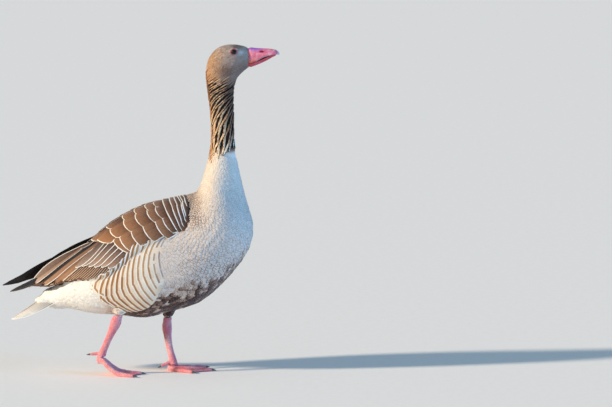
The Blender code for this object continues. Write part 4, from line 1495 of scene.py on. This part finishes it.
# %% [markdown]
# ## Bill
# A goose's bill is a tall wedge of pink skin over bone. Its upper half is lofted: one ring of points
# is extruded from station to station, and each new ring takes the height and width of the bill
# there. The palate is hollowed a little, the nostril is a dent pressed into each side, and the
# cutting edge rises in a shallow arch, so that the toothed rim inside shows as on the living bird.

# %% Bill
BILL = np.array([
    # x, top, cutting edge, underside, half width
    (216.0, 663.6, 637.4, 630.4, 10.8), (220.0, 665.4, 636.4, 628.6, 12.0),
    (224.5, 667.0, 635.8, 627.2, 13.3), (232.0, 666.4, 638.4, 629.4, 12.9),
    (242.0, 665.7, 642.0, 633.2, 12.0), (252.0, 665.2, 646.4, 637.8, 11.0),
    (262.0, 664.6, 650.2, 643.0, 10.2), (270.0, 663.6, 652.0, 647.6, 9.2),
    (276.5, 661.8, 652.8, 650.8, 7.2), (281.0, 659.0, 653.4, 652.6, 4.0),
])
NOSTRIL = (247.5, 659.2)


def lofted(sections, shape, around=56):
    """A closed body through rings of points; shape gives each ring's points from its section."""
    bm = bmesh.new()
    ring = bmesh.ops.create_circle(bm, segments=around, radius=1.0)["verts"]
    turn = [np.arctan2(vert.co.y, vert.co.x) for vert in ring]
    edges = list(bm.edges)
    bmesh.ops.contextual_create(bm, geom=edges)
    for k, section in enumerate(sections):
        if k:
            made = bmesh.ops.extrude_edge_only(bm, edges=edges)["geom"]
            edges = [item for item in made if isinstance(item, bmesh.types.BMEdge) and item.is_boundary]
            new = {vert for edge in edges for vert in edge.verts}
            # Each edge that rises from the old ring leads to the point of the new ring above it.
            above = {
                edge.other_vert(vert): vert for vert in new for edge in vert.link_edges if edge not in edges
            }
            ring = [above[old] for old in ring]
        for vert, angle in zip(ring, turn):
            vert.co = Vector(shape(section, angle)) * MM
    bmesh.ops.contextual_create(bm, geom=edges)
    bmesh.ops.recalc_face_normals(bm, faces=bm.faces[:])
    return bm


def bill_sections(first, last, count):
    """Rows like those of the table, at even steps along the bill."""
    at = np.linspace(first, last, count)
    return np.column_stack([at, smooth_rows(BILL[:, 0], BILL[:, 1:], at)])


def arch(x):
    """How far the cutting edge rises in its arch, in millimetres."""
    return 2.4 * sin(pi * (x - 234) / 34) if 234 < x < 268 else 0.0


def upper_ring(section, angle):
    """The upper half's outline: a flat palate, full sides with the nostril, a ledge over the edge."""
    x, top, edge, _, half = section
    edge += arch(x)
    across, up = cos(angle), sin(angle)
    if up < -0.05:
        return x, half * 0.86 * across, edge + 1.4 * (1 - across * across) * min(1, half / 8)
    dent = 0.0
    if abs(x - NOSTRIL[0]) < 9:
        height = edge + (top - edge) * max(up, 0) ** 0.85
        dent = 2.0 * np.exp(-((x - NOSTRIL[0]) / 4.0) ** 2 - ((height - NOSTRIL[1]) / 1.5) ** 2)
    wide = np.sign(across) * abs(across) ** 0.72
    ledge = 0.5 * np.exp(-((up - 0.1) / 0.09) ** 2)
    return x, wide * (half - dent + ledge * 0.6), edge + (top - edge) * max(up, 0) ** 0.85


def lower_ring(section, angle):
    """The lower half's outline, hollow above, which the arch leaves a little open."""
    x, _, edge, under, half = section
    edge -= 0.7 + 0.5 * arch(x)
    across, up = cos(angle), sin(angle)
    if up > 0.05:
        return x, half * 0.86 * across, edge - 1.0 * (1 - across * across)
    return x, half * 0.93 * np.sign(across) * abs(across) ** 0.75, edge - (edge - under) * max(-up, 0) ** 0.9


print("bill:", BILL[0, 0], "to", BILL[-1, 0], "mm from the origin")

# %% [markdown]
# ## The bill's skin and horn
# The skin is mottled pink. Near the face it turns orange along the cutting edge, and the ridge there
# is painted mauve, a bluish reflection. Round the nostril it is painted deep red and in it nearly
# black, the shade of its hollow, and scattered pale pink patches are painted highlights. Masks made
# from x and z place these tones. A little light passes under the surface, which makes it look alive.
# The nail is paler horn with fine grain along the bill.

# %% Bill finishes
bill_skin = Finish(
    "bill_skin", roughness=0.38, subsurface_weight=0.12, subsurface_scale=0.003, specular_ior_level=0.45
)
x, _, z = (value * 1000 for value in bill_skin.parts(bill_skin.place()))
step, mix = bill_skin.step, bill_skin.mix
pinks = ((0.3, (222, 96, 112)), (0.55, (235, 132, 140)), (0.75, (246, 172, 172)))
tone = bill_skin.ramp(bill_skin.noise(150.0, 3.0), *pinks)
# Mauve on the ridge near the face: a painted reflection.
tone = mix(step(z + x * 0.10, 680, 689) * step(x, 266, 230) * 0.9, tone, (150, 84, 178))
tone = mix(step(z - x * 0.42, 550, 543) * step(x, 246, 226) * 0.85, tone, (236, 110, 64))
# Deep red round the nostril and nearly black in it: painted shade of its hollow.
along, up = (x - NOSTRIL[0]) / 4.8, (z - NOSTRIL[1]) / 2.1
hollow = along * along + up * up
tone = mix(step(hollow, 2.4, 1.0) * 0.8, tone, (208, 40, 74))
tone = mix(step(hollow, 0.8, 0.3), tone, (92, 10, 22))
# Pale pink patches: painted highlights; the same noise roughens the surface.
highlights_and_relief = bill_skin.noise(420.0, 3.0)
bill_skin.colour(mix(step(highlights_and_relief, 0.6, 0.75) * 0.35, tone, (250, 196, 204)))
bill_skin.bump(highlights_and_relief + bill_skin.noise(1400.0) * 0.4, 0.0004, 0.5)

lower_skin = Finish("lower_bill_skin", roughness=0.45, subsurface_weight=0.1, subsurface_scale=0.003)
lower_skin.speckle(180.0, (176, 52, 66), (222, 92, 104), detail=3.0)
lower_skin.bump(lower_skin.noise(600.0), 0.0004, 0.5)

nail_horn = Finish("nail_horn", roughness=0.3, specular_ior_level=0.5)
nail_horn.speckle(300.0, (208, 150, 150), (236, 192, 186), stretch=(0.3, 1, 1))
nail_horn.bump(nail_horn.noise(900.0, stretch=(0.2, 1, 1)), 0.0002, 0.5)
print("bill finishes:", [finish.material.name for finish in (bill_skin, lower_skin, nail_horn)])

# %% [markdown]
# ## The pieces of the bill
# Upper bill, lower bill and nail are three bodies through rings of points. The nail caps the tip:
# it starts narrow and grows wider and thicker than the bill under it, so that its rim shows.

# %% Bill pieces
def nail_ring(section, angle):
    """The nail's outline, a little larger than the bill's tip that it caps."""
    x, top, edge, _, half = section
    grow = np.interp(x, (268, 273, 283.4), (-3.0, 1.0, 1.0))
    across, up = cos(angle), sin(angle)
    lift = (0.35 if up > 0 else -0.4) * grow
    half *= np.interp(x, (268, 274, 279), (0.5, 0.78, 1.0))
    middle = (top + edge) / 2 - 0.8 * np.interp(x, (276, 283), (0, 1))
    return x, half * 0.92 * across, middle + ((top - edge) / 2 * 0.98 + lift * np.sign(up)) * up


upper = add_piece("bill_upper_skin", lofted(bill_sections(216, 279.5, 96), upper_ring), bill_skin)
lower = add_piece("bill_lower_skin", lofted(bill_sections(216, 276.0, 60), lower_ring), lower_skin)
nail_sections = bill_sections(268.0, 281.0, 28)
nail_sections = np.vstack([nail_sections, (282.6, 656.8, 653.2, 0, 2.6), (283.3, 655.6, 654.0, 0, 1.0)])
nail = add_piece("bill_tip_nail", lofted(nail_sections, nail_ring, 40), nail_horn)
for piece, node, slot in (
    (upper, "bill_upper", "bill_skin"), (lower, "bill_lower", "bill_skin"), (nail, "bill_nail", "nail_horn"),
):
    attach(piece, "root")
    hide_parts(node)
    print(piece.name, len(piece.data.polygons), "faces")

# %% [markdown]
# ## The toothed rim
# A goose grazes by clamping grass between rows of horny teeth. They show in the arch of the cutting
# edge as a pale saw above a dark line. Each tooth is a small cone with four sides. A tongue fills the
# space behind them, painted dark red, nearly black, as the shade inside the open bill.

# %% Mouth
TOOTH_STEP = 1.55
TOOTH_BASE, TOOTH_POINT, TOOTH_HEIGHT = 0.95 * MM, 0.3 * MM, 2.3 * MM
teeth = bmesh.new()
for tooth_x in np.arange(236.5, 265.5, TOOTH_STEP):
    edge, half = (float(np.interp(tooth_x, BILL[:, 0], BILL[:, column])) for column in (2, 4))
    for side in (-1, 1):
        place = Matrix.Translation(Vector((tooth_x, side * half * 0.90, edge + arch(tooth_x) - 0.2)) * MM)
        turned = Matrix.Rotation(pi, 4, "X") @ Matrix.Rotation(pi / 4, 4, "Z")
        bmesh.ops.create_cone(
            teeth, cap_ends=True, segments=4, radius1=TOOTH_BASE, radius2=TOOTH_POINT,
            depth=TOOTH_HEIGHT, matrix=place @ turned,
        )
tooth_horn = Finish("tooth_horn", roughness=0.35)
tooth_horn.speckle(500.0, (206, 180, 172), (236, 214, 204))
tooth_row = add_piece("bill_teeth", teeth, tooth_horn, smooth=False)
# The dark red of the mouth is painted shade inside the bill.
mouth = Finish("mouth_painted_shade", roughness=0.3)
mouth.speckle(300.0, (44, 10, 14), (88, 24, 28))
mouth.bump(mouth.noise(700.0), 0.0003, 0.5)


def tongue_ring(section, angle):
    """An oval that lies on the lower bill and fills the arch."""
    x, _, edge, _, half = section
    return x, half * 0.74 * cos(angle), edge + 0.3 + (1.9 + arch(x) * 0.5) * sin(angle)


tongue = add_piece("tongue", lofted(bill_sections(222, 270, 24), tongue_ring, 24), mouth)
for piece in (tooth_row, tongue):
    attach(piece, "root")
print("teeth:", len(tooth_row.data.polygons) // 6)

# %% [markdown]
# ## The look of the eye
# A goose's eye is dark brown, almost black. Its finish turns from black pupil to brown iris by
# distance from the eye's axis, which a cross product measures, under a clear coat that catches
# the light. The lids round it are bare pink skin.

# %% Eye finishes
PUPIL = (3.0, 3.5)


def eye_finish(name, centre, axis):
    """A black pupil in a brown iris, with its border at a distance from the eye's axis."""
    finish = Finish(
        name, roughness=0.35, specular_ior_level=0.3, coat_weight=0.55, coat_roughness=0.03, coat_ior=1.4
    )

    def vector_math(operation, first, second=(0, 0, 0), output=0):
        inputs = {0: first, 1: tuple(second)}
        return finish.node("ShaderNodeVectorMath", {"operation": operation}, inputs, output)

    sideways = vector_math("CROSS_PRODUCT", vector_math("SUBTRACT", finish.place(), centre), axis)
    reach = vector_math("LENGTH", sideways, output="Value") * 1000
    iris = finish.ramp(finish.noise(900.0, 3.0), (0.3, (18, 10, 8)), (0.7, (34, 20, 14)))
    finish.colour(finish.mix(finish.step(reach, *PUPIL), (5, 4, 5), iris))
    return finish


lid_skin = Finish("lid_skin", roughness=0.5, subsurface_weight=0.15, subsurface_scale=0.002)
lid_skin.speckle(700.0, (150, 52, 76), (196, 92, 104))
lid_skin.bump(lid_skin.noise(1800.0), 0.0003)
print("the pupil fades out between", *PUPIL, "mm from the axis")

# %% [markdown]
# ## Eyes and lids
# The eyeball is strongly domed, so it is a sphere that looks out of the head. A ring of bare skin
# frames it, the edges of the two lids: a small circle spun round the eye's axis and stretched a
# little along the bird.

# %% Eyes
BALL_RADIUS, BALL_DEPTH = 6.6 * MM, 6.2 * MM
LID_RADIUS, LID_REACH, LID_LIFT = 0.8 * MM, 5.9 * MM, 4.0 * MM
for side, name in SIDES:
    axis = Vector((0.16, side * 1.0, 0.14)).normalized()
    turn = axis.to_track_quat("Z", "Y").to_matrix().to_4x4()
    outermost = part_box(f"eye_{name}")[1 if side > 0 else 0].y
    eye_centre = Vector((EYE.x, outermost, EYE.z)) - axis * BALL_DEPTH
    ball = bmesh.new()
    bmesh.ops.create_uvsphere(ball, u_segments=48, v_segments=32, radius=BALL_RADIUS)
    bmesh.ops.transform(ball, matrix=Matrix.Translation(eye_centre) @ turn, verts=ball.verts[:])
    eye = add_piece(f"eyeball_{name}", ball, eye_finish(f"eye_{name}", eye_centre, axis))
    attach(eye, "root")
    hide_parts(f"eye_{name}")
    lid = bmesh.new()
    bmesh.ops.create_circle(lid, segments=10, radius=LID_RADIUS)
    bmesh.ops.rotate(lid, matrix=Matrix.Rotation(pi / 2, 3, "X"), verts=lid.verts[:])
    bmesh.ops.translate(lid, vec=(LID_REACH, 0, 0), verts=lid.verts[:])
    bmesh.ops.spin(
        lid, geom=lid.verts[:] + lid.edges[:], axis=(0, 0, 1), cent=(0, 0, 0), angle=2 * pi, steps=56,
        use_merge=True,
    )
    bmesh.ops.recalc_face_normals(lid, faces=lid.faces[:])
    stretch = Matrix.Diagonal((1.10, 0.94, 1.0, 1.0))
    place = Matrix.Translation(eye_centre + axis * LID_LIFT) @ turn
    bmesh.ops.transform(lid, matrix=place @ stretch, verts=lid.verts[:])
    ring = add_piece(f"lid_{name}", lid, lid_skin)
    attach(ring, "root")
print("eyes at x", round(eye_centre.x, 4))

# %% [markdown]
# ## Legs and feet
# Legs and webbed feet are pink and scaly. The solids have the right outline but flat facets, so
# copies of shank, foot and hind toe are melted together like the skin and smoothed. The scales
# are cells of a Voronoi pattern, stretched across the shank, that dent the surface at their rims.

# %% Legs
LEG_VOXEL = 0.9 * MM
leg_skin = Finish(
    "leg_skin", roughness=0.48, subsurface_weight=0.12, subsurface_scale=0.004, specular_ior_level=0.4
)
scales = {"Vector": leg_skin.stretched((1.0, 1.0, 1.5)), "Scale": 330.0}
cells = leg_skin.node("ShaderNodeTexVoronoi", {"feature": "DISTANCE_TO_EDGE"}, scales)
inside = leg_skin.step(cells, 0.02, 0.16)
pinks = ((0.3, (238, 126, 130)), (0.52, (247, 162, 158)), (0.72, (252, 198, 182)))
tone = leg_skin.ramp(leg_skin.noise(60.0, 3.0), *pinks)
leg_skin.colour(leg_skin.mix(inside, leg_skin.mix(0.6, tone, (176, 70, 84)), tone))
leg_skin.bump(inside + leg_skin.noise(1500.0) * 0.3, 0.0005, 0.7)

for side in ("left", "right"):
    names = (f"shank_{side}", f"foot_{side}", f"hallux_{side}")
    bm = melted(names, LEG_VOXEL)
    smoothed(bm, 5)
    leg = add_piece(f"leg_{side}", bm, leg_skin)
    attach(leg, "root")
    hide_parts(*names)
    print(leg.name, len(leg.data.polygons) * 2, "triangles")

# %% [markdown]
# ## Claws
# The claws are dark horn. Their solids already curve as they should, so they stay in view and only
# take this finish in place of their plain colour.

# %% Claws
claw_horn = Finish("claw_horn", roughness=0.35)
claw_horn.speckle(400.0, (58, 48, 44), (112, 96, 86))
claws = [node for name, node in solids.items() if name.startswith("claw_")]
for claw in claws:
    claw.data.materials.clear()
    claw.data.materials.append(claw_horn.material)
print("claws:", len(claws))

# %% [markdown]
# ## The finished bird
# Plumage may stand a little proud of the solids, but the bird keeps its real size.
